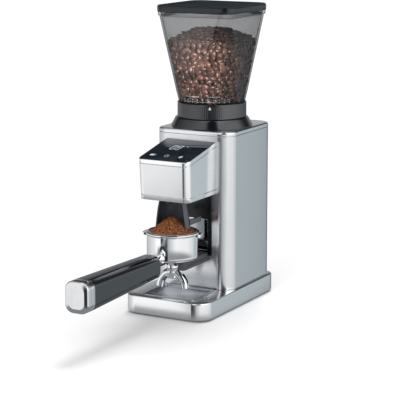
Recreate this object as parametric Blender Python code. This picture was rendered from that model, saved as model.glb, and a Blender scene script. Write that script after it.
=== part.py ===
"""Burr coffee grinder with a docked portafilter.

Sizes are in millimetres in this script and become metres when a mesh is made.
+X is to the right as seen from the front, +Y points to the back, +Z is up.
The origin is on the table, under the middle of the whole object.
"""
import math

import bmesh
import bpy

MM = 0.001
GAP = 0.3                      # air between two neighbouring solids
SHEET = 1.5                    # steel sheet
CORNER_STEPS = 5               # segments in a quarter-circle corner
ROUND_STEPS = 24               # segments round a turned piece
WIDE_STEPS = 36                # segments round a wide turned piece that shows
SMALL_STEPS = 10               # segments round a screw, a foot or a small hole

# ---- driving dimensions ----
BASE_WIDTH, BASE_FRONT, BASE_BACK = 130.0, -3.3, 216.5
BASE_RADIUS, BASE_BOTTOM, BASE_TOP = 21.4, 2.5, 26.5
COLUMN_WIDTH, COLUMN_FRONT, COLUMN_BACK = 120.0, 78.4, 210.7
COLUMN_RADIUS, COLUMN_TOP, COVER_TOP = 19.9, 243.0, 249.0
HEAD_WIDTH, HEAD_FRONT, HEAD_RADIUS = 79.0, -3.2, 8.7
HEAD_BOTTOM, HEAD_FRONT_TOP, HEAD_BACK_TOP = 162.8, 218.4, 235.9
HEAD_LEAN, HEAD_TAPER = 3.0, 1.0          # how much the foot of the head is set in
HEAD_BAND = 6.0                           # height of the head's top and bottom trims
AXIS_Y = 137.5                            # burrs, motor, ring and hopper share this axis
RING_BOTTOM, RING_TOP, RING_RADIUS = 262.0, 283.2, 48.6
SKIRT_RADIUS = 57.4
HOPPER_TOP, HOPPER_ROUND, HOPPER_SIDE, HOPPER_CORNER = 409.5, 47.0, 119.0, 18.5
HOPPER_WALL, NECK_RADIUS = 2.2, 30.0
LID_BOTTOM, LID_TOP, LID_SIDE, LID_CORNER = 409.8, 419.2, 122.5, 19.5
BAY_HALF, BAY_BOTTOM, BAY_DEPTH = 32.0, 74.0, 16.0
CUP_Y, CUP_RADIUS, CUP_BOTTOM, CUP_TOP = 24.5, 35.4, 79.5, 117.2
LUG_TURN = math.radians(13.4)             # the lugs are turned a little from the handle's square
FORK_BOTTOM, FORK_TOP = 66.5, 79.2
GUARD_Y, GUARD_BOTTOM = CUP_Y, 122.5
NECK_Z = 85.0
GRIP_START, GRIP_END, HANDLE_END = -31.5, -199.5, -216.5
TRAY_FRONT, TRAY_BACK, TRAY_HALF = 8.0, 75.5, 40.5

# ---- gear train: two stages of 12 and 36 teeth ----
MODULE, SMALL_TEETH, LARGE_TEETH = 1.25, 12, 36
PRESSURE_ANGLE, BACKLASH = math.radians(20.0), 0.35
LAY_Y = AXIS_Y + MODULE * (SMALL_TEETH + LARGE_TEETH) / 2
FIRST_STAGE, SECOND_STAGE = (121.0, 130.5), (132.5, 141.5)
LOWER_PLATE, UPPER_PLATE = (116.0, 118.4), (148.0, 150.4)


# ---- materials: colour, roughness, metallic ----
FINISHES = {
    "steel": ((0.72, 0.73, 0.74), 0.28, 1.0),
    "dark_steel": ((0.35, 0.36, 0.38), 0.35, 1.0),
    "chrome": ((0.85, 0.86, 0.88), 0.06, 1.0),
    "mirror": ((0.90, 0.91, 0.92), 0.03, 1.0),
    "burr_steel": ((0.45, 0.45, 0.46), 0.30, 1.0),
    "aluminium": ((0.70, 0.70, 0.71), 0.40, 1.0),
    "brass": ((0.75, 0.58, 0.28), 0.30, 1.0),
    "black_plastic": ((0.045, 0.048, 0.052), 0.40, 0.0),
    "gloss_black": ((0.010, 0.013, 0.018), 0.06, 0.0),
    "grip_black": ((0.030, 0.032, 0.036), 0.25, 0.0),
    "fork_grey": ((0.10, 0.10, 0.115), 0.50, 0.0),
    "white_nylon": ((0.80, 0.79, 0.74), 0.45, 0.0),
    "smoked": ((0.16, 0.16, 0.165), 0.08, 0.0),
    "rubber": ((0.02, 0.02, 0.02), 0.80, 0.0),
    "silicone": ((0.25, 0.25, 0.26), 0.60, 0.0),
    "board_green": ((0.03, 0.16, 0.07), 0.45, 0.0),
    "copper": ((0.62, 0.33, 0.20), 0.40, 1.0),
    "beans": ((0.085, 0.040, 0.022), 0.35, 0.0),
    "grounds": ((0.16, 0.068, 0.028), 0.95, 0.0),
}


def clear_scene():
    for old in list(bpy.data.objects):
        bpy.data.objects.remove(old, do_unlink=True)


def material(finish):
    """The Principled material of a finish, made the first time it is asked for."""
    found = bpy.data.materials.get(finish)
    if found:
        return found
    colour, roughness, metallic = FINISHES[finish]
    made = bpy.data.materials.new(finish)
    made.use_nodes = True
    shader = made.node_tree.nodes["Principled BSDF"]
    shader.inputs["Base Color"].default_value = (*colour, 1.0)
    shader.inputs["Roughness"].default_value = roughness
    shader.inputs["Metallic"].default_value = metallic
    made.diffuse_color = (*colour, 1.0)
    return made


# ---- outlines: lists of 2-D points, counter-clockwise ----
def rectangle(low_a, high_a, low_b, high_b, radii, steps=CORNER_STEPS):
    """Rectangle with a radius for each corner: (high, high), (low, high), (low, low), (high, low)."""
    corners = ((high_a, high_b, -1, -1), (low_a, high_b, 1, -1),
               (low_a, low_b, 1, 1), (high_a, low_b, -1, 1))
    points = []
    for number, ((a, b, to_a, to_b), radius) in enumerate(zip(corners, radii)):
        centre_a, centre_b = a + to_a * radius, b + to_b * radius
        for step in range(steps + 1):
            angle = math.radians(90 * number + 90 * step / steps)
            points.append((centre_a + radius * math.cos(angle), centre_b + radius * math.sin(angle)))
    return points


def block(half_a, low_b, high_b, radius, steps=CORNER_STEPS):
    """Rectangle centred on the first axis, all corners alike."""
    return rectangle(-half_a, half_a, low_b, high_b, (radius,) * 4, steps)


def circle(radius, centre=(0.0, 0.0), steps=ROUND_STEPS):
    return [(centre[0] + radius * math.cos(2 * math.pi * i / steps),
             centre[1] + radius * math.sin(2 * math.pi * i / steps)) for i in range(steps)]


def flat(outline, z):
    """A horizontal ring of 3-D points."""
    return [(x, y, z) for x, y in outline]


def upright(outline, y):
    """A ring that stands across the Y axis; the outline holds x and z."""
    return [(x, y, z) for x, z in outline]


# ---- solids ----
def make_object(name, bm, finish=None, pivot=(0.0, 0.0, 0.0)):
    """Turn a millimetre bmesh into a metre object whose origin is the pivot."""
    bmesh.ops.recalc_face_normals(bm, faces=bm.faces)
    bmesh.ops.translate(bm, verts=bm.verts, vec=[-value for value in pivot])
    bmesh.ops.scale(bm, verts=bm.verts, vec=(MM, MM, MM))
    mesh = bpy.data.meshes.new(name)
    bm.to_mesh(mesh)
    bm.free()
    mesh.shade_smooth()
    mesh.set_sharp_from_angle(angle=math.radians(32))
    made = bpy.data.objects.new(name, mesh)
    made.location = [value * MM for value in pivot]
    bpy.context.collection.objects.link(made)
    if finish:
        mesh.materials.append(material(finish))
    return made


def add_stack(bm, rings, closed=False):
    """Bridge rings of equal length, and cap both ends unless the stack runs round into itself."""
    layers = [[bm.verts.new(point) for point in ring] for ring in rings]
    count = len(layers[0])
    pairs = list(zip(layers, layers[1:]))
    if closed:
        pairs.append((layers[-1], layers[0]))
    else:
        bm.faces.new(layers[0])
        bm.faces.new(layers[-1])
    for lower, upper in pairs:
        for i in range(count):
            j = (i + 1) % count
            bm.faces.new((lower[i], lower[j], upper[j], upper[i]))


def stack(name, rings, finish=None, closed=False, pivot=(0.0, 0.0, 0.0)):
    bm = bmesh.new()
    add_stack(bm, rings, closed)
    return make_object(name, bm, finish, pivot)


def prism(name, outline, low, high, finish=None, pivot=(0.0, 0.0, 0.0)):
    return stack(name, [flat(outline, low), flat(outline, high)], finish, pivot=pivot)


def prisms(name, outlines, low, high):
    """Several upright prisms in one cutter."""
    bm = bmesh.new()
    for outline in outlines:
        add_stack(bm, [flat(outline, low), flat(outline, high)])
    return make_object(name, bm)


def turned(name, profile, finish=None, centre=(0.0, AXIS_Y), closed=False, steps=ROUND_STEPS,
           pivot=(0.0, 0.0, 0.0)):
    """Solid of revolution about an upright axis; the profile holds radius and height."""
    rings = [flat(circle(radius, centre, steps), z) for radius, z in profile]
    return stack(name, rings, finish, closed, pivot)


def turned_along_y(name, profile, height, finish=None, closed=False, steps=ROUND_STEPS):
    """Solid of revolution about an axis along Y at x = 0; the profile holds radius and y."""
    rings = [upright(circle(radius, (0.0, height), steps), y) for radius, y in profile]
    return stack(name, rings, finish, closed)


def box(name, x_range, y_range, z_range):
    outline = [(x_range[1], y_range[1]), (x_range[0], y_range[1]),
               (x_range[0], y_range[0]), (x_range[1], y_range[0])]
    return prism(name, outline, *z_range)


def sweep_rings(path, radii, steps=12, first_normal=None):
    """Circles across a path that lies in a plane of constant x or constant y."""
    rings = []
    last = len(path) - 1
    for i, (point, radius) in enumerate(zip(path, radii)):
        before, after = path[max(i - 1, 0)], path[min(i + 1, last)]
        along = [b - a for a, b in zip(before, after)]
        if i == 0 and first_normal:
            along = first_normal
        length = math.sqrt(sum(value * value for value in along))
        dx, dy, dz = (value / length for value in along)
        side = (1.0, 0.0, 0.0) if abs(dx) < 1e-6 else (0.0, 1.0, 0.0)
        up = (dy * side[2] - dz * side[1], dz * side[0] - dx * side[2], dx * side[1] - dy * side[0])
        ring = []
        for step in range(steps):
            angle = 2 * math.pi * step / steps
            ring.append(tuple(point[k] + radius * (math.cos(angle) * side[k] + math.sin(angle) * up[k])
                              for k in range(3)))
        rings.append(ring)
    return rings


def combine(target, operation, tool):
    """Boolean the tool into the target, and keep the tool out of the model."""
    tool.hide_render = True
    tool.display_type = 'WIRE'
    modifier = target.modifiers.new(tool.name, 'BOOLEAN')
    modifier.operation = operation
    modifier.object = tool
    modifier.solver = 'EXACT'


def cut(target, tool):
    combine(target, 'DIFFERENCE', tool)


def join(target, tool):
    combine(target, 'UNION', tool)


SIDES = (("left", -1), ("right", 1))


# ---- base ----
FOOT_PLACES = {"front_left": (-46.0, 17.0), "front_right": (46.0, 17.0),
               "rear_left": (-46.0, 196.0), "rear_right": (46.0, 196.0)}
SCREW_PLACES = {"front_left": (-54.0, 48.0), "front_right": (54.0, 48.0),
                "rear_left": (-54.0, 166.0), "rear_right": (54.0, 166.0)}
BASE_SHEET = 1.2
TRAY_HOLE_INSET = 2.0


def base_outline(inset):
    return block(BASE_WIDTH / 2 - inset, BASE_FRONT + inset, BASE_BACK - inset, BASE_RADIUS - inset)


def tray_outline(inset, radius=6.0):
    return block(TRAY_HALF - inset, TRAY_FRONT + inset, TRAY_BACK - inset, radius - inset * 0.7, 4)


def circles(radius, places):
    """One small circle for each named place."""
    return [circle(radius, place, SMALL_STEPS) for place in places.values()]


def make_base_shell():
    edge = 1.0
    shell = stack("base_shell", [
        flat(base_outline(edge), BASE_TOP), flat(base_outline(0.3), BASE_TOP - 0.3),
        flat(base_outline(0.0), BASE_TOP - edge), flat(base_outline(0.0), BASE_BOTTOM),
        flat(base_outline(BASE_SHEET), BASE_BOTTOM), flat(base_outline(BASE_SHEET), BASE_TOP - BASE_SHEET),
    ], "steel")
    boss_radius, bore_radius, boss_foot = 4.0, 1.65, 8.0
    join(shell, prisms("base_bosses", circles(boss_radius, SCREW_PLACES), boss_foot, BASE_TOP - BASE_SHEET / 2))
    cut(shell, prisms("base_boss_holes", circles(bore_radius, SCREW_PLACES), boss_foot - 1, 20.0))
    cut(shell, prism("tray_hole", tray_outline(TRAY_HOLE_INSET), BASE_TOP - 3, BASE_TOP + 3))
    cut(shell, prism("wiring_hole", block(30.0, 110.0, 190.0, 6.0, 3), BASE_TOP - 3, BASE_TOP + 3))


def make_base_plate():
    plate = prism("base_plate", base_outline(BASE_SHEET + GAP), 3.5, 5.0, "dark_steel")
    cut(plate, prisms("foot_holes", circles(4.4, FOOT_PLACES), 2.0, 7.0))
    cut(plate, prisms("screw_holes", circles(1.9, SCREW_PLACES), 2.0, 7.0))


def make_feet_and_screws():
    for corner, place in FOOT_PLACES.items():
        turned("foot_" + corner, [(9.5, 0.0), (10.0, 0.6), (10.0, 3.2), (4.0, 3.2), (4.0, 5.3),
                                  (5.2, 5.3), (4.0, 7.5)], "rubber", place, steps=16)
    for corner, place in SCREW_PLACES.items():
        turned("base_screw_" + corner, [(2.6, 2.0), (3.2, 2.4), (3.2, 3.2), (1.3, 3.2), (1.3, 16.0)],
               "dark_steel", place, steps=SMALL_STEPS)


def make_catch_tray():
    body_inset, rim, depth = TRAY_HOLE_INSET + GAP, 2.6, 3.2
    top = BASE_TOP + 1.1
    stack("catch_tray", [
        flat(tray_outline(body_inset + 0.6), top - depth - 1.6), flat(tray_outline(body_inset), top - depth),
        flat(tray_outline(body_inset), BASE_TOP + GAP), flat(tray_outline(0.0), BASE_TOP + GAP),
        flat(tray_outline(0.0), top - 0.3), flat(tray_outline(0.3), top),
        flat(tray_outline(rim), top), flat(tray_outline(rim + 1.2), top - depth),
    ], "steel", pivot=(0.0, (TRAY_FRONT + TRAY_BACK) / 2, top))


# ---- column ----
CHUTE_HOLE = ((-14.0, 14.0), (172.0, 212.0))
VENT_HALF, VENT_LOW, VENT_HIGH, VENT_SLOTS = 28.0, 60.0, 120.0, 9
GLAND_Z = 37.0


def column_outline(inset):
    return block(COLUMN_WIDTH / 2 - inset, COLUMN_FRONT + inset, COLUMN_BACK - inset, COLUMN_RADIUS - inset)


def make_column_shell():
    bottom = BASE_TOP + GAP
    shell = stack("column_shell", [
        flat(column_outline(0.0), bottom), flat(column_outline(0.0), COLUMN_TOP),
        flat(column_outline(SHEET), COLUMN_TOP), flat(column_outline(SHEET), bottom),
    ], "steel", closed=True)
    front, back = COLUMN_FRONT - 2, COLUMN_FRONT + 4
    bay = block(BAY_HALF, BAY_BOTTOM, HEAD_BOTTOM - GAP, 4.0, 3)
    cut(shell, stack("bay_hole", [upright(bay, front), upright(bay, back)]))
    cut(shell, box("chute_hole", CHUTE_HOLE[0], (front, back), CHUTE_HOLE[1]))
    for name, side in SIDES:
        place = circle(1.9, (side * FORK_SCREW_X, FORK_SCREW_Z), SMALL_STEPS)
        cut(shell, stack("fork_hole_" + name, [upright(place, front), upright(place, back)]))
    front, back = COLUMN_BACK - 4, COLUMN_BACK + 2
    vent = block(VENT_HALF, VENT_LOW, VENT_HIGH, 5.0, 3)
    cut(shell, stack("vent_hole", [upright(vent, front), upright(vent, back)]))
    gland = circle(5.4, (0.0, GLAND_Z), 16)
    cut(shell, stack("gland_hole", [upright(gland, front), upright(gland, back)]))


def make_top_cover():
    edge, ring_hole, bottom = 2.0, 46.0, COLUMN_TOP + GAP
    cover = stack("top_cover", [
        flat(column_outline(0.0), bottom), flat(column_outline(0.0), COVER_TOP - edge),
        flat(column_outline(edge * 0.3), COVER_TOP - edge * 0.3), flat(column_outline(edge), COVER_TOP),
    ], "steel")
    cut(cover, turned("cover_hole", [(ring_hole, bottom - 3), (ring_hole, COVER_TOP + 3)]))
    cut(cover, prism("cover_hollow", column_outline(SHEET), bottom - 3, COVER_TOP - 2.0))


def make_vent_panel():
    outline = block(VENT_HALF - GAP, VENT_LOW + GAP, VENT_HIGH - GAP, 5.0 - GAP, 3)
    panel = stack("vent_panel", [upright(outline, COLUMN_BACK - 2.2), upright(outline, COLUMN_BACK + 0.8)],
                  "black_plastic")
    bm = bmesh.new()
    pitch = (VENT_HIGH - VENT_LOW) / (VENT_SLOTS + 1)
    for i in range(VENT_SLOTS):
        z = VENT_LOW + pitch * (i + 1)
        slot = block(VENT_HALF - 5.0, z - 1.5, z + 1.5, 1.2, 1)
        add_stack(bm, [upright(slot, COLUMN_BACK - 5), upright(slot, COLUMN_BACK + 5)])
    cut(panel, make_object("vent_slots", bm))


def make_cord_gland():
    turned_along_y("cord_gland", [(5.0, COLUMN_BACK - 7.0), (5.0, COLUMN_BACK + GAP), (8.0, COLUMN_BACK + GAP),
                                  (8.0, COLUMN_BACK + 2.0), (6.2, COLUMN_BACK + 4.8),
                                  (3.6, COLUMN_BACK + 4.8), (3.6, COLUMN_BACK - 7.0)],
                   GLAND_Z, "rubber", closed=True, steps=16)


def make_bay():
    half, low, high = BAY_HALF - GAP, BAY_BOTTOM + GAP, HEAD_BOTTOM - 2 * GAP
    front, back = COLUMN_FRONT + 0.2, COLUMN_FRONT + BAY_DEPTH + SHEET
    outer = block(half, low, high, 3.7, 3)
    inner = block(half - SHEET, low + SHEET, high - SHEET, 2.2, 3)
    stack("bay_liner", [upright(outer, back), upright(outer, front),
                        upright(inner, front), upright(inner, back - SHEET)], "black_plastic")
    pane = block(18.0, 76.6, 123.0, 1.5, 3)
    face = COLUMN_FRONT + BAY_DEPTH - GAP
    stack("bay_mirror", [upright(pane, face), upright(pane, face - 1.2)], "mirror")


# ---- fork that carries the portafilter ----
FORK_HALF, FORK_SLOT_HALF, FORK_TIP, FORK_ROOT = 26.0, 16.0, 10.5, 68.0
FORK_SCREW_X, FORK_SCREW_Z = 18.0, 69.8


def make_fork():
    arm_radius = (FORK_HALF - FORK_SLOT_HALF) / 2
    body = rectangle(-FORK_HALF, FORK_HALF, FORK_TIP, COLUMN_FRONT - GAP,
                     (1.0, 1.0, arm_radius, arm_radius), 5)
    fork = prism("fork", body, FORK_BOTTOM, FORK_TOP, "fork_grey")
    slot = rectangle(-FORK_SLOT_HALF, FORK_SLOT_HALF, FORK_TIP - 20, FORK_ROOT, (6.0, 6.0, 1.0, 1.0), 4)
    cut(fork, prism("fork_slot", slot, FORK_BOTTOM - 5, FORK_TOP + 5))
    groove_depth, groove_low, groove_high = 1.0, FORK_BOTTOM + 5.0, FORK_BOTTOM + 7.2
    for name, side in SIDES:
        edge = side * FORK_HALF
        cut(fork, box("fork_groove_" + name, sorted((edge - side * groove_depth, edge + side * 5.0)),
                      (FORK_TIP + 8.0, COLUMN_FRONT - 6.0), (groove_low, groove_high)))
        hole = circle(1.6, (side * FORK_SCREW_X, FORK_SCREW_Z), SMALL_STEPS)
        cut(fork, stack("fork_bore_" + name, [upright(hole, FORK_ROOT + 1.5), upright(hole, COLUMN_FRONT + 3)]))
        make_fork_screw("fork_screw_" + name, side * FORK_SCREW_X, FORK_SCREW_Z)


def make_fork_screw(name, x, z):
    """Pan-head screw that enters the fork from inside the column, pointing to the front."""
    inner_face = COLUMN_FRONT + SHEET
    profile = [(2.6, inner_face + 2.2), (3.2, inner_face + 1.8), (3.2, inner_face + GAP),
               (1.3, inner_face + GAP), (1.3, FORK_ROOT + 2.4)]
    rings = [upright(circle(radius, (x, z), SMALL_STEPS), y) for radius, y in profile]
    stack(name, rings, "dark_steel")


# ---- head ----
HEAD_SLOPE = (HEAD_BACK_TOP - HEAD_FRONT_TOP) / (COLUMN_FRONT - HEAD_FRONT)


HEAD_LOW_LEVEL = HEAD_BAND / (HEAD_FRONT_TOP - HEAD_BOTTOM)


def head_outline(level, inset):
    """Head outline at a level from 0, its foot, to 1, the front top edge."""
    half = HEAD_WIDTH / 2 - HEAD_TAPER * (1 - level) - inset
    front = HEAD_FRONT + HEAD_LEAN * (1 - level) + inset
    back = COLUMN_FRONT - GAP - inset
    curve = HEAD_RADIUS - inset * 0.8
    return rectangle(-half, half, front, back, (1.0, 1.0, curve, curve))


def sloped(outline, offset):
    """The outline laid on the head's sloping top, moved up by the offset."""
    return [(x, y, HEAD_FRONT_TOP + (y - HEAD_FRONT) * HEAD_SLOPE + offset) for x, y in outline]


def make_head_shell():
    bottom = HEAD_BOTTOM + HEAD_BAND + 2 * GAP
    high_level = 1 - HEAD_LOW_LEVEL
    drop = -HEAD_BAND - GAP
    shell = stack("head_shell", [
        flat(head_outline(HEAD_LOW_LEVEL, 0.0), bottom), sloped(head_outline(high_level, 0.0), drop),
        sloped(head_outline(high_level, SHEET), drop), flat(head_outline(HEAD_LOW_LEVEL, SHEET), bottom),
    ], "steel", closed=True)
    back = COLUMN_FRONT
    cut(shell, box("head_chute_hole", CHUTE_HOLE[0], (back - 4, back + 2), CHUTE_HOLE[1]))


def make_head_top():
    shelf, bezel, pocket = 4.5, 0.9, -2.0
    stack("head_top_frame", [
        sloped(head_outline(1 - HEAD_LOW_LEVEL, 0.0), -HEAD_BAND), sloped(head_outline(1.0, 0.0), -0.5),
        sloped(head_outline(1.0, 0.5), 0.0), sloped(head_outline(1.0, bezel), 0.0),
        sloped(head_outline(1.0, bezel), pocket), sloped(head_outline(1.0, shelf), pocket),
        sloped(head_outline(1.0, shelf), -HEAD_BAND),
    ], "steel", closed=True)
    stack("control_glass", [
        sloped(head_outline(1.0, bezel + GAP), pocket + GAP), sloped(head_outline(1.0, bezel + GAP), 0.0),
        sloped(head_outline(1.0, bezel + GAP + 0.3), 0.2),
    ], "gloss_black")
    board = head_outline(1.0, shelf + GAP + 0.2)
    stack("control_board", [sloped(board, -5.0), sloped(board, -3.4)], "board_green")
    digits = rectangle(-18.5, 11.5, 37.0, 53.0, (1.0,) * 4, 2)
    stack("display_module", [sloped(digits, -3.1), sloped(digits, -2.1)], "black_plastic")


def make_head_floor():
    top = HEAD_BOTTOM + HEAD_BAND + GAP
    floor = stack("head_floor", [
        flat(head_outline(0.0, 0.8), HEAD_BOTTOM), flat(head_outline(0.0, 0.0), HEAD_BOTTOM + 0.8),
        flat(head_outline(HEAD_LOW_LEVEL, 0.0), top), flat(head_outline(HEAD_LOW_LEVEL, SHEET), top),
        flat(head_outline(0.0, SHEET), HEAD_BOTTOM + 1.8),
    ], "steel")
    cut(floor, turned("floor_hole", [(13.0, HEAD_BOTTOM - 2), (13.0, HEAD_BOTTOM + 4)],
                      centre=(0.0, GUARD_Y), steps=16))


# ---- coffee path under the head ----
def make_grounds_chute():
    path = [(0.0, 92.8, 199.0), (0.0, 60.0, 187.5), (0.0, 37.0, 179.0), (0.0, 26.5, 172.5),
            (0.0, GUARD_Y, 165.0), (0.0, GUARD_Y, 157.0)]
    rings = sweep_rings(path, [10.0] * len(path), first_normal=(0.0, -1.0, 0.0))
    bores = sweep_rings(path, [8.4] * len(path), first_normal=(0.0, -1.0, 0.0))
    stack("grounds_chute", rings + bores[::-1], "black_plastic", closed=True)


GUARD_WALL, GUARD_TOP_RADIUS, GUARD_FOOT_RADIUS = 2.0, 16.4, 24.4


def guard_ring(radius, z, steps=14):
    """A C-shaped outline that is open to the front."""
    start, end = math.radians(-12.0), math.radians(192.0)
    points = []
    for r, order in ((radius, range(steps + 1)), (radius - GUARD_WALL, range(steps, -1, -1))):
        for i in order:
            angle = start + (end - start) * i / steps
            points.append((r * math.cos(angle), GUARD_Y + r * math.sin(angle), z))
    return points


def make_spout_guard():
    top = HEAD_BOTTOM - GAP
    height = top - GUARD_BOTTOM
    levels = 4
    rings = []
    for i in range(levels + 1):
        share = i / levels
        flare = (1 - share) ** 0.7
        radius = GUARD_TOP_RADIUS + (GUARD_FOOT_RADIUS - GUARD_TOP_RADIUS) * flare
        rings.append(guard_ring(radius, GUARD_BOTTOM + height * share))
    guard = stack("spout_guard", rings, "black_plastic")
    for name, side in SIDES:
        join(guard, box("guard_tab_" + name, sorted((side * 20.6, side * 23.8)), (31.0, 62.5), (126.0, 133.6)))


# ---- grind adjustment and hopper ----
def make_collar_skirt():
    turned("collar_skirt", [(SKIRT_RADIUS, COVER_TOP + GAP), (SKIRT_RADIUS - 0.6, COVER_TOP + 1.6),
                            (51.6, 260.6), (50.4, RING_BOTTOM - GAP), (45.5, RING_BOTTOM - GAP),
                            (45.5, COVER_TOP + GAP)], "black_plastic", closed=True, steps=WIDE_STEPS)


def make_grind_ring():
    web_low, web_high, web_radius, wall = 263.0, 266.0, 34.0, 3.6
    low = RING_BOTTOM + GAP
    turned("grind_ring", [
        (RING_RADIUS, low), (RING_RADIUS, RING_TOP - 0.8), (RING_RADIUS - 0.8, RING_TOP),
        (RING_RADIUS - wall, RING_TOP), (RING_RADIUS - wall, web_high), (web_radius, web_high),
        (web_radius, web_low), (RING_RADIUS - wall, web_low - 0.4), (RING_RADIUS - wall, low),
    ], "black_plastic", closed=True, steps=WIDE_STEPS, pivot=(0.0, AXIS_Y, low))


HOPPER_STEPS = 6


def hopper_outline(height, inset):
    """Round at the ring and a rounded square at the top, with straight walls between."""
    share = (height - RING_TOP) / (HOPPER_TOP - RING_TOP)
    half = HOPPER_ROUND + (HOPPER_SIDE / 2 - HOPPER_ROUND) * share - inset
    radius = HOPPER_ROUND + (HOPPER_CORNER - HOPPER_ROUND) * share - inset
    return flat(block(half, AXIS_Y - half, AXIS_Y + half, radius, HOPPER_STEPS), height)


def hopper_circle(radius, z):
    return flat(block(radius, AXIS_Y - radius, AXIS_Y + radius, radius, HOPPER_STEPS), z)


def make_bean_hopper():
    neck_bottom, funnel_low, funnel_high = 264.5, 286.5, 294.0
    bore = NECK_RADIUS - HOPPER_WALL
    stack("bean_hopper", [
        hopper_outline(HOPPER_TOP, 0.0), hopper_circle(HOPPER_ROUND, RING_TOP + GAP),
        hopper_circle(NECK_RADIUS, RING_TOP + GAP), hopper_circle(NECK_RADIUS, neck_bottom),
        hopper_circle(bore, neck_bottom), hopper_circle(bore, funnel_low),
        hopper_outline(funnel_high, HOPPER_WALL), hopper_outline(HOPPER_TOP, HOPPER_WALL),
    ], "smoked", closed=True, pivot=(0.0, AXIS_Y, RING_TOP + GAP))


def lid_outline(half, radius, z):
    return flat(block(half, AXIS_Y - half, AXIS_Y + half, radius, CORNER_STEPS), z)


def make_hopper_lid():
    half, plug, plug_bottom = LID_SIDE / 2, 53.4, 402.5
    pivot = (0.0, AXIS_Y, LID_BOTTOM)
    stack("hopper_lid", [
        lid_outline(half - 1.2, LID_CORNER - 1.2, LID_TOP),
        lid_outline(half - 0.3, LID_CORNER - 0.3, LID_TOP - 0.4),
        lid_outline(half, LID_CORNER, LID_TOP - 1.4), lid_outline(half - 0.4, LID_CORNER - 0.4, LID_BOTTOM),
        lid_outline(plug, 13.0, LID_BOTTOM), lid_outline(plug, 13.0, plug_bottom),
        lid_outline(plug - 2.0, 11.0, plug_bottom), lid_outline(plug - 2.0, 11.0, LID_TOP - 2.4),
    ], "black_plastic", pivot=pivot)
    seal_in, seal_out = plug + GAP, 56.0
    stack("lid_seal", [
        lid_outline(seal_out - 0.8, 15.0, 404.0), lid_outline(seal_out, 15.6, 405.5),
        lid_outline(seal_out - 0.4, 15.2, 407.0), lid_outline(seal_in, 13.3, 407.0),
        lid_outline(seal_in, 13.3, 404.0),
    ], "silicone", closed=True, pivot=pivot)


def make_coffee_beans():
    bore, edge, peak = NECK_RADIUS - HOPPER_WALL - 0.8, 370.0, 387.5
    crown = [(0.82, 0.45), (0.55, 0.80), (0.20, 1.0)]        # share of the width, share of the rise
    rings = [hopper_circle(bore, 266.0), hopper_circle(bore, 287.5),
             hopper_outline(296.0, HOPPER_WALL + 0.8), hopper_outline(edge, HOPPER_WALL + 0.8)]
    for width, rise in crown:
        z = edge + (peak - edge) * rise
        rings.append([(x * width, AXIS_Y + (y - AXIS_Y) * width, z) for x, y, _ in rings[3]])
    stack("coffee_beans", rings, "beans", pivot=(0.0, AXIS_Y, RING_TOP + GAP))


# ---- burr set ----
CHAMBER_FLOOR, CHAMBER_RADIUS = 193.0, 44.0
SHAFT_RADIUS = 4.0
SHAFT_PIVOT = (0.0, AXIS_Y, CHAMBER_FLOOR)


def make_grinding_chamber():
    seat, wall = 11.3, 3.0
    chamber = turned("grinding_chamber", [
        (CHAMBER_RADIUS, 246.0), (CHAMBER_RADIUS, CHAMBER_FLOOR - wall), (14.5, CHAMBER_FLOOR - wall),
        (14.5, 154.0), (20.0, 154.0), (20.0, UPPER_PLATE[1] + GAP), (seat, UPPER_PLATE[1] + GAP),
        (seat, 164.0), (9.0, 164.0), (9.0, 181.0), (seat, 181.0), (seat, CHAMBER_FLOOR),
        (CHAMBER_RADIUS - wall, CHAMBER_FLOOR), (CHAMBER_RADIUS - wall, 246.0),
    ], "aluminium", closed=True)
    front = AXIS_Y - CHAMBER_RADIUS
    cut(chamber, box("chamber_outlet", (-7.5, 7.5), (front - 4, front + 8), (193.4, 206.0)))


def make_burr_carrier():
    turned("burr_carrier", [
        (39.0, 207.0), (39.0, 261.5), (33.0, 261.5), (33.0, 240.0), (26.5, 232.0), (26.5, 226.6),
        (30.4, 226.6), (30.4, 207.0),
    ], "black_plastic", closed=True, pivot=(0.0, AXIS_Y, 226.6))


def toothed_ring(mean, depth, teeth, z, twist=0.0):
    """A circle of saw teeth, two points to a tooth."""
    points = []
    for i in range(2 * teeth):
        angle = math.pi * i / teeth + twist
        radius = mean + (depth if i % 2 else -depth)
        points.append((radius * math.cos(angle), AXIS_Y + radius * math.sin(angle), z))
    return points


def make_burrs():
    teeth, cone_teeth = 24, 12
    outer = 30.0
    stack("ring_burr", [
        toothed_ring(outer, 0.0, teeth, 208.0), toothed_ring(outer, 0.0, teeth, 226.2),
        toothed_ring(24.5, 0.9, teeth, 226.2), toothed_ring(20.6, 0.5, teeth, 208.0),
    ], "burr_steel", closed=True, pivot=(0.0, AXIS_Y, 226.6))
    cone = stack("cone_burr", [
        toothed_ring(8.0, 0.0, cone_teeth, 200.0), toothed_ring(8.0, 0.0, cone_teeth, 206.0),
        toothed_ring(18.2, 0.6, cone_teeth, 206.0), toothed_ring(17.0, 1.0, cone_teeth, 211.0, 0.10),
        toothed_ring(12.4, 1.5, cone_teeth, 222.0, 0.40), toothed_ring(7.6, 1.0, cone_teeth, 232.0, 0.75),
    ], "burr_steel", pivot=SHAFT_PIVOT)
    cut(cone, turned("cone_bore", [(SHAFT_RADIUS + GAP, 195.0), (SHAFT_RADIUS + GAP, 240.0)], steps=16))
    turned("burr_bolt", [(3.0, 226.4), (3.0, 232.3), (6.4, 232.3), (6.4, 236.0), (5.4, 236.8)],
           "dark_steel", steps=12, pivot=SHAFT_PIVOT)


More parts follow.
